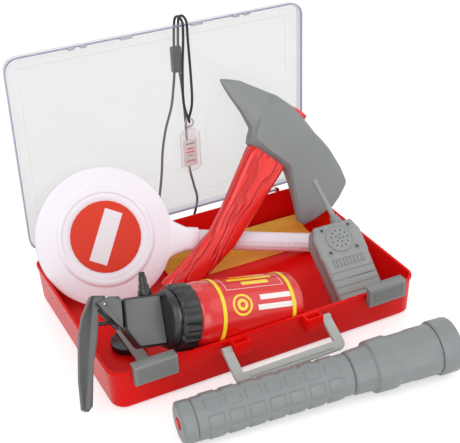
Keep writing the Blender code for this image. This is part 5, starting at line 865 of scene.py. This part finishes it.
def make_radio(library, bars, studs, settings):
    for node in ("radio_front", "radio_back"):
        rounded(node, "radio", "grey_radio", library.radio_grey, settings.edge, SHELL_EDGE)
    rounded("talk_button", "talk_button", "grey_radio", library.radio_grey, settings.edge / 2, SHELL_EDGE)
    paint(library.radio_grey, "antenna")
    names = ["radio_screw_" + str(index) for index in (1, 2, 3, 4)]
    # The sunk screws are painted dark as painted shade of their recesses
    paint(library.dark, *names)
    screws = [middle(name) for name in names]
    across = (screws[2] + screws[3] - screws[0] - screws[1]).normalized()
    up = (screws[1] + screws[3] - screws[0] - screws[2]).normalized()
    face = across.cross(up)
    speaker = sum(screws, Vector()) / len(screws) + face * (SCREW_DEPTH + SPEAKER_RISE)
    place = axes_matrix(speaker, across, face)
    # The speaker's holes are thin dark discs of painted shade
    for ring, (count, circle) in enumerate(HOLE_RINGS):
        repeat("speaker_holes_" + str(ring + 1), studs, place, "radio", "grey_radio", Count=count,
               Circle=circle, Radius=HOLE_RADIUS, Height=2 * HOLE_HALF_DEPTH, Material=library.dark)
    hole = turned("speaker_hole_middle", [(0, HOLE_HALF_DEPTH), (HOLE_RADIUS, HOLE_HALF_DEPTH),
                                          (HOLE_RADIUS, -HOLE_HALF_DEPTH), (0, -HOLE_HALF_DEPTH)],
                  HOLE_STEPS, library.dark)
    hole.data.transform(place)
    finish_piece(hole, "radio", "grey_radio")
    add_ring("speaker_rim", RIM_RADII, RIM_STEPS, place, library)
    for index, screw in enumerate(screws):
        add_ring("screw_boss_" + str(index + 1), BOSS_RADII, BOSS_STEPS,
                 axes_matrix(screw + face * SCREW_DEPTH, across, face), library)
    grille = axes_matrix(speaker - up * GRILLE_DROP - face * GRILLE_SINK, across, face)
    step = GRILLE_WIDTH / (settings.grille_slots - 1)
    repeat("grille_slots", bars, grille, "radio", "grey_radio", Count=settings.grille_slots,
           Start=(-GRILLE_WIDTH / 2, 0, 0), Step=(step, 0, 0), Size=(step / 2, GRILLE_HEIGHT, GRILLE_DEPTH),
           Material=library.radio_grey)


# The torch

def make_torch(library, settings):
    for node in ("torch_body", "torch_head", "torch_tail_cap"):
        rounded(node, "torch", "grey_torch", library.torch_grey, settings.edge, SHAPED_EDGE)
    rounded("torch_bezel", "torch", "grey_torch", library.torch_grey, settings.edge / 2)
    paint(library.clear, "torch_lens", "torch_bulb")
    paint(library.plain("reflector"), "torch_reflector")
    paint(library.red, "torch_button")
    paint(library.plain("cell_wrap"), "torch_cell_1", "torch_cell_2", "torch_cell_3")
    paint(library.steel, "contact_spring")


# The neck cord and its tag

CORD_DIAMETER = 0.003
CORD_SIDES_A_QUARTER = 4
CORD_POINTS_A_STRETCH = 4
# The cord's thread colour, and the darker colour painted into its weave's crevices as painted shade
CORD_LIGHT = (0.05, 0.045, 0.045, 1)
CORD_CREVICE_SHADE = (0.008, 0.007, 0.008, 1)
WEAVE_SCALE = 1700.0
WEAVE_DEPTH = 0.0003
WEAVE_ROUGHNESS = 0.65
WEAVE_ROUGHNESS_SPREAD = 0.2
# The cord's routes, the same points that its solids follow
FRONT_ROUTE = (
    (0.0205, 0.141, 0.26), (0.0212, 0.141, 0.272), (0.0222, 0.1408, 0.2855), (0.0232, 0.1388, 0.2938),
    (0.0242, 0.131, 0.2972), (0.0248, 0.1238, 0.2935), (0.025, 0.1226, 0.2868), (0.0245, 0.1232, 0.27),
    (0.022, 0.1235, 0.24), (0.0205, 0.1235, 0.206), (0.0215, 0.1228, 0.19), (0.0235, 0.121, 0.18),
    (0.0252, 0.1205, 0.174), (0.0262, 0.1235, 0.172), (0.0272, 0.1265, 0.174), (0.029, 0.1262, 0.18),
    (0.0308, 0.1242, 0.19), (0.0318, 0.1235, 0.206), (0.0314, 0.1235, 0.24), (0.0304, 0.1232, 0.27),
    (0.03, 0.1226, 0.2868), (0.0298, 0.1238, 0.2935), (0.029, 0.131, 0.2972), (0.028, 0.1388, 0.2938),
    (0.0272, 0.1408, 0.2855), (0.0262, 0.141, 0.272), (0.0255, 0.141, 0.26))
LOOP_ROUTE = (
    (0.019, 0.141, 0.2285), (0.0172, 0.1408, 0.215), (0.012, 0.14, 0.188), (0.003, 0.1398, 0.162),
    (-0.003, 0.1398, 0.135), (-0.0065, 0.1398, 0.105), (-0.012, 0.14, 0.072), (-0.017, 0.142, 0.042),
    (-0.015, 0.145, 0.018), (-0.004, 0.148, 0.006), (0.012, 0.149, 0.005), (0.026, 0.147, 0.015),
    (0.0335, 0.143, 0.034), (0.0385, 0.1405, 0.058), (0.0345, 0.1398, 0.08), (0.0302, 0.1398, 0.105),
    (0.029, 0.1398, 0.14), (0.0285, 0.14, 0.175), (0.0272, 0.1404, 0.208), (0.0255, 0.141, 0.2285))


def smooth_route(route):
    """Points on a smooth curve through the route's own points."""
    points = [Vector(point) for point in route]
    points = [2 * points[0] - points[1], *points, 2 * points[-1] - points[-2]]
    dense = []
    for before, start, end, after in zip(points, points[1:], points[2:], points[3:]):
        for step in range(CORD_POINTS_A_STRETCH):
            t = step / CORD_POINTS_A_STRETCH
            square = 2 * before - 5 * start + 4 * end - after
            cube = 3 * start - 3 * end + after - before
            dense.append(0.5 * (2 * start + (end - before) * t + square * t ** 2 + cube * t ** 3))
    dense.append(points[-2])
    return dense


def make_cord_material(library):
    """Woven black cord: a tight crossing weave, darker in its low crevices as painted shade."""
    material, nodes, shader, coordinates = library.start("woven_cord")
    cells = nodes.add("ShaderNodeTexVoronoi", {"Vector": coordinates, "Scale": WEAVE_SCALE})
    weave = cells.outputs["Distance"]
    bump = nodes.add("ShaderNodeBump", {"Height": weave, "Distance": WEAVE_DEPTH}, invert=True)
    nodes.wire(shader, Base_Color=nodes.mix(weave, CORD_LIGHT, CORD_CREVICE_SHADE), Normal=bump.outputs["Normal"],
               Roughness=nodes.calc("MULTIPLY_ADD", weave, WEAVE_ROUGHNESS_SPREAD, WEAVE_ROUGHNESS))
    return material


def make_cords(library):
    """The two cords, each a smooth tube along its route."""
    woven = make_cord_material(library)
    for name, route, pieces in (("cord_front", FRONT_ROUTE, ["tag_ring"]),
                                ("cord_loop", LOOP_ROUTE, ["cord_clasp_finish"])):
        points = smooth_route(route)
        curve = bpy.data.curves.new(name + "_finish", "CURVE")
        curve.dimensions = "3D"
        curve.bevel_depth = CORD_DIAMETER / 2
        curve.bevel_resolution = CORD_SIDES_A_QUARTER
        curve.use_fill_caps = True
        spline = curve.splines.new("POLY")
        spline.points.add(len(points) - 1)
        for point, place in zip(spline.points, points):
            point.co = (*place, 1)
        curve.materials.append(woven)
        obj = finish_piece(add_object(name + "_finish", curve), "lid", "cord_black", name)


CARD_WHITE = (0.8, 0.8, 0.82, 1)
TAG_ROUGHNESS = 0.4
# The tag's bars: level from the card's middle, half width and ink
TAG_BARS = (
    (0.0118, 0.0055, (0.25, 0.26, 0.27, 1)), (0.0055, 0.0045, (0.66, 0.03, 0.03, 1)),
    (0.001, 0.0055, (0.7, 0.05, 0.05, 1)), (-0.0035, 0.0035, (0.3, 0.31, 0.32, 1)),
    (-0.0105, 0.006, (0.66, 0.03, 0.03, 1)))
TAG_BAR_HALF_HEIGHT = 0.001
TAG_CASE_BODY = (0.93, 0.9, 0.92)
TAG_CASE_EDGE = (0.7, 0.16, 0.18)


def make_tag_card(library):
    """A white card with plain red and grey bars."""
    material, nodes, shader, coordinates = library.start("tag_print")
    library.texture(nodes, shader, coordinates, TAG_ROUGHNESS)
    place = nodes.split(coordinates)
    centre = middle("tag_card")
    colour = CARD_WHITE
    for level, width, ink in TAG_BARS:
        mask = nodes.use(library.patch, U=place["X"], V=place["Z"], U_middle=centre.x,
                         V_middle=centre.z + level, U_half=width, V_half=TAG_BAR_HALF_HEIGHT)
        colour = nodes.mix(mask.outputs[0], colour, ink)
    nodes.wire(shader, Base_Color=colour)
    return material


def make_tag(library, settings):
    case = library.clear_plastic("tag_clear_plastic", TAG_CASE_BODY, TAG_CASE_EDGE)
    rounded("tag_case", "lid", "clear_small", case, settings.edge / 2)
    paint(make_tag_card(library), "tag_card")
    paint(library.steel, "tag_ring")
    rounded("cord_clasp", "lid", "black_plastic", library.black, settings.edge)


# The studio

# The photograph's camera: its place, its right and up directions, and its sensor in mm
CAMERA_PLACE = (-0.4107, -0.8817, 0.6675)
CAMERA_RIGHT = Vector((0.8915, -0.4518, -0.0343)).normalized()
CAMERA_UP = Vector((0.2526, 0.4326, 0.8655))
CAMERA_SENSOR = 36.0
CAMERA_CLIP_START = 0.01
# Softboxes: place, width, and power as a share of the key light's
LIGHTS = {
    "key_light": ((-1.1, -1.2, 1.9), 1.4, 1.0),
    "front_light": ((-0.2, -2.2, 0.5), 1.6, 0.9),
    "fill_light": ((1.6, -1.0, 1.2), 1.6, 0.45),
    "back_light": ((0.2, 1.6, 1.5), 1.5, 0.5),
}
WHITE = (1, 1, 1, 1)
WORLD_STRENGTH = 0.63
WORLD_SEEN_MORE = 0.42
FLOOR_HALF_SIZE = 6
FLOOR_GAP = 0.0006
FLOOR_COLOUR = (0.72, 0.72, 0.72, 1)
FLOOR_ROUGHNESS = 0.9
FLOOR_SEEN_GLOW = 0.5


def make_camera(settings):
    camera = add_object("camera", bpy.data.cameras.new("camera"))
    back = CAMERA_RIGHT.cross(CAMERA_UP).normalized()
    turn = Matrix((CAMERA_RIGHT, back.cross(CAMERA_RIGHT), back)).transposed().to_4x4()
    camera.matrix_world = Matrix.Translation(CAMERA_PLACE) @ turn
    camera.data.lens = settings.lens
    camera.data.sensor_width = CAMERA_SENSOR
    camera.data.clip_start = CAMERA_CLIP_START
    bpy.context.scene.camera = camera


def add_light(name, place, size, power):
    light = bpy.data.lights.new(name, "AREA")
    light.size = size
    light.energy = power
    obj = add_object(name, light)
    obj.location = place
    obj.rotation_euler = (-Vector(place)).to_track_quat("-Z", "Y").to_euler()


def seen(nodes):
    path = nodes.add("ShaderNodeLightPath")
    mirrored = nodes.calc("MAXIMUM", path.outputs["Is Glossy Ray"], path.outputs["Is Transmission Ray"])
    return nodes.calc("MAXIMUM", path.outputs["Is Camera Ray"], mirrored)


def make_world():
    world = bpy.data.worlds.new("studio")
    bpy.context.scene.world = world
    world.use_nodes = True
    nodes = Nodes(world.node_tree)
    nodes.wire(world.node_tree.nodes["Background"], Color=WHITE,
               Strength=nodes.calc("MULTIPLY_ADD", seen(nodes), WORLD_SEEN_MORE, WORLD_STRENGTH))


def make_floor():
    """A pale floor that glows a little for the camera, so that it looks white."""
    mesh = bmesh.new()
    bmesh.ops.create_grid(mesh, x_segments=1, y_segments=1, size=FLOOR_HALF_SIZE)
    material = bpy.data.materials.new("pale_floor")
    material.use_nodes = True
    nodes = Nodes(material.node_tree)
    nodes.wire(material.node_tree.nodes["Principled BSDF"], Base_Color=FLOOR_COLOUR,
               Roughness=FLOOR_ROUGHNESS, Emission_Color=WHITE,
               Emission_Strength=nodes.calc("MULTIPLY", seen(nodes), FLOOR_SEEN_GLOW))
    floor = mesh_object("floor", mesh, material)
    floor.location.z = -FLOOR_GAP


def make_studio(settings):
    make_camera(settings)
    for name, (place, size, share) in LIGHTS.items():
        add_light(name, place, size, share * settings.key_power)
    make_world()
    make_floor()
    view = bpy.context.scene.view_settings
    view.view_transform = "Standard"
    view.look = "None"


# Settings, operators and panel

class KitFinishSettings(bpy.types.PropertyGroup):
    edge: bpy.props.FloatProperty(
        name="Edge rounding", description="Radius of a usual moulded edge", default=0.0007, unit="LENGTH")
    latch_ribs: bpy.props.IntProperty(
        name="Latch ribs", description="Fine ribs on the front of each latch", default=17)
    grille_slots: bpy.props.IntProperty(
        name="Grille slots", description="Slots under the radio's speaker", default=9)


class KitStudioSettings(bpy.types.PropertyGroup):
    lens: bpy.props.FloatProperty(
        name="Lens", description="Focal length that matches the photograph", default=80.3, unit="CAMERA")
    key_power: bpy.props.FloatProperty(
        name="Key light", description="Power of the main softbox", default=15.0, unit="POWER")


class KIT_OT_studio(bpy.types.Operator):
    """Adds the camera, the lights and the pale floor"""
    bl_idname = "kit.studio"
    bl_label = "Studio"

    def execute(self, context):
        make_studio(context.scene.kit_studio)
        return {"FINISHED"}


class KIT_OT_lanyard(bpy.types.Operator):
    """Adds the neck cord, its clasp and its tag"""
    bl_idname = "kit.lanyard"
    bl_label = "Neck cord"

    def execute(self, context):
        library = shared_library()
        make_tag(library, context.scene.kit_finish)
        make_cords(library)
        return {"FINISHED"}


class KIT_OT_case(bpy.types.Operator):
    """Finishes the tray, the lid, the latches and the handle"""
    bl_idname = "kit.case"
    bl_label = "Case"

    def execute(self, context):
        make_case(shared_library(), make_bars_group(), context.scene.kit_finish)
        return {"FINISHED"}


class KIT_OT_paddle(bpy.types.Operator):
    """Finishes the stop paddle"""
    bl_idname = "kit.paddle"
    bl_label = "Paddle"

    def execute(self, context):
        make_paddle(shared_library(), context.scene.kit_finish)
        return {"FINISHED"}


class KIT_OT_axe(bpy.types.Operator):
    """Finishes the axe"""
    bl_idname = "kit.axe"
    bl_label = "Axe"

    def execute(self, context):
        make_axe(shared_library(), context.scene.kit_finish)
        return {"FINISHED"}


class KIT_OT_extinguisher(bpy.types.Operator):
    """Finishes the extinguisher"""
    bl_idname = "kit.extinguisher"
    bl_label = "Extinguisher"

    def execute(self, context):
        make_extinguisher(shared_library(), context.scene.kit_finish)
        return {"FINISHED"}


class KIT_OT_radio(bpy.types.Operator):
    """Finishes the two-way radio"""
    bl_idname = "kit.radio"
    bl_label = "Radio"

    def execute(self, context):
        make_radio(shared_library(), make_bars_group(), make_studs_group(), context.scene.kit_finish)
        return {"FINISHED"}


class KIT_OT_torch(bpy.types.Operator):
    """Finishes the torch"""
    bl_idname = "kit.torch"
    bl_label = "Torch"

    def execute(self, context):
        make_torch(shared_library(), context.scene.kit_finish)
        return {"FINISHED"}


OPERATORS = (KIT_OT_studio, KIT_OT_lanyard, KIT_OT_case, KIT_OT_paddle, KIT_OT_axe, KIT_OT_extinguisher,
             KIT_OT_radio, KIT_OT_torch)


class KIT_PT_panel(bpy.types.Panel):
    bl_idname = "KIT_PT_panel"
    bl_label = "Toy firefighter kit"
    bl_space_type = "VIEW_3D"
    bl_region_type = "UI"
    bl_category = "Kit"

    def draw(self, context):
        for settings in (context.scene.kit_finish, context.scene.kit_studio):
            for name in settings.__annotations__:
                self.layout.prop(settings, name)
        for operator in OPERATORS:
            self.layout.operator(operator.bl_idname)


CLASSES = (KitFinishSettings, KitStudioSettings, *OPERATORS, KIT_PT_panel)
made_libraries = []


def shared_library():
    """The materials are made once, by the first step that needs them."""
    if not made_libraries:
        made_libraries.append(Library())
    return made_libraries[0]


def register():
    for item in CLASSES:
        bpy.utils.register_class(item)
    bpy.types.Scene.kit_finish = bpy.props.PointerProperty(type=KitFinishSettings)
    bpy.types.Scene.kit_studio = bpy.props.PointerProperty(type=KitStudioSettings)


def unregister():
    del bpy.types.Scene.kit_studio
    del bpy.types.Scene.kit_finish
    for item in reversed(CLASSES):
        bpy.utils.unregister_class(item)


def main():
    """Makes every piece."""
    register()
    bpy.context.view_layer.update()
    bpy.ops.kit.studio()
    bpy.ops.kit.lanyard()
    bpy.ops.kit.case()
    bpy.ops.kit.paddle()
    bpy.ops.kit.axe()
    bpy.ops.kit.extinguisher()
    bpy.ops.kit.radio()
    bpy.ops.kit.torch()


if __name__ == "__main__":
    main()
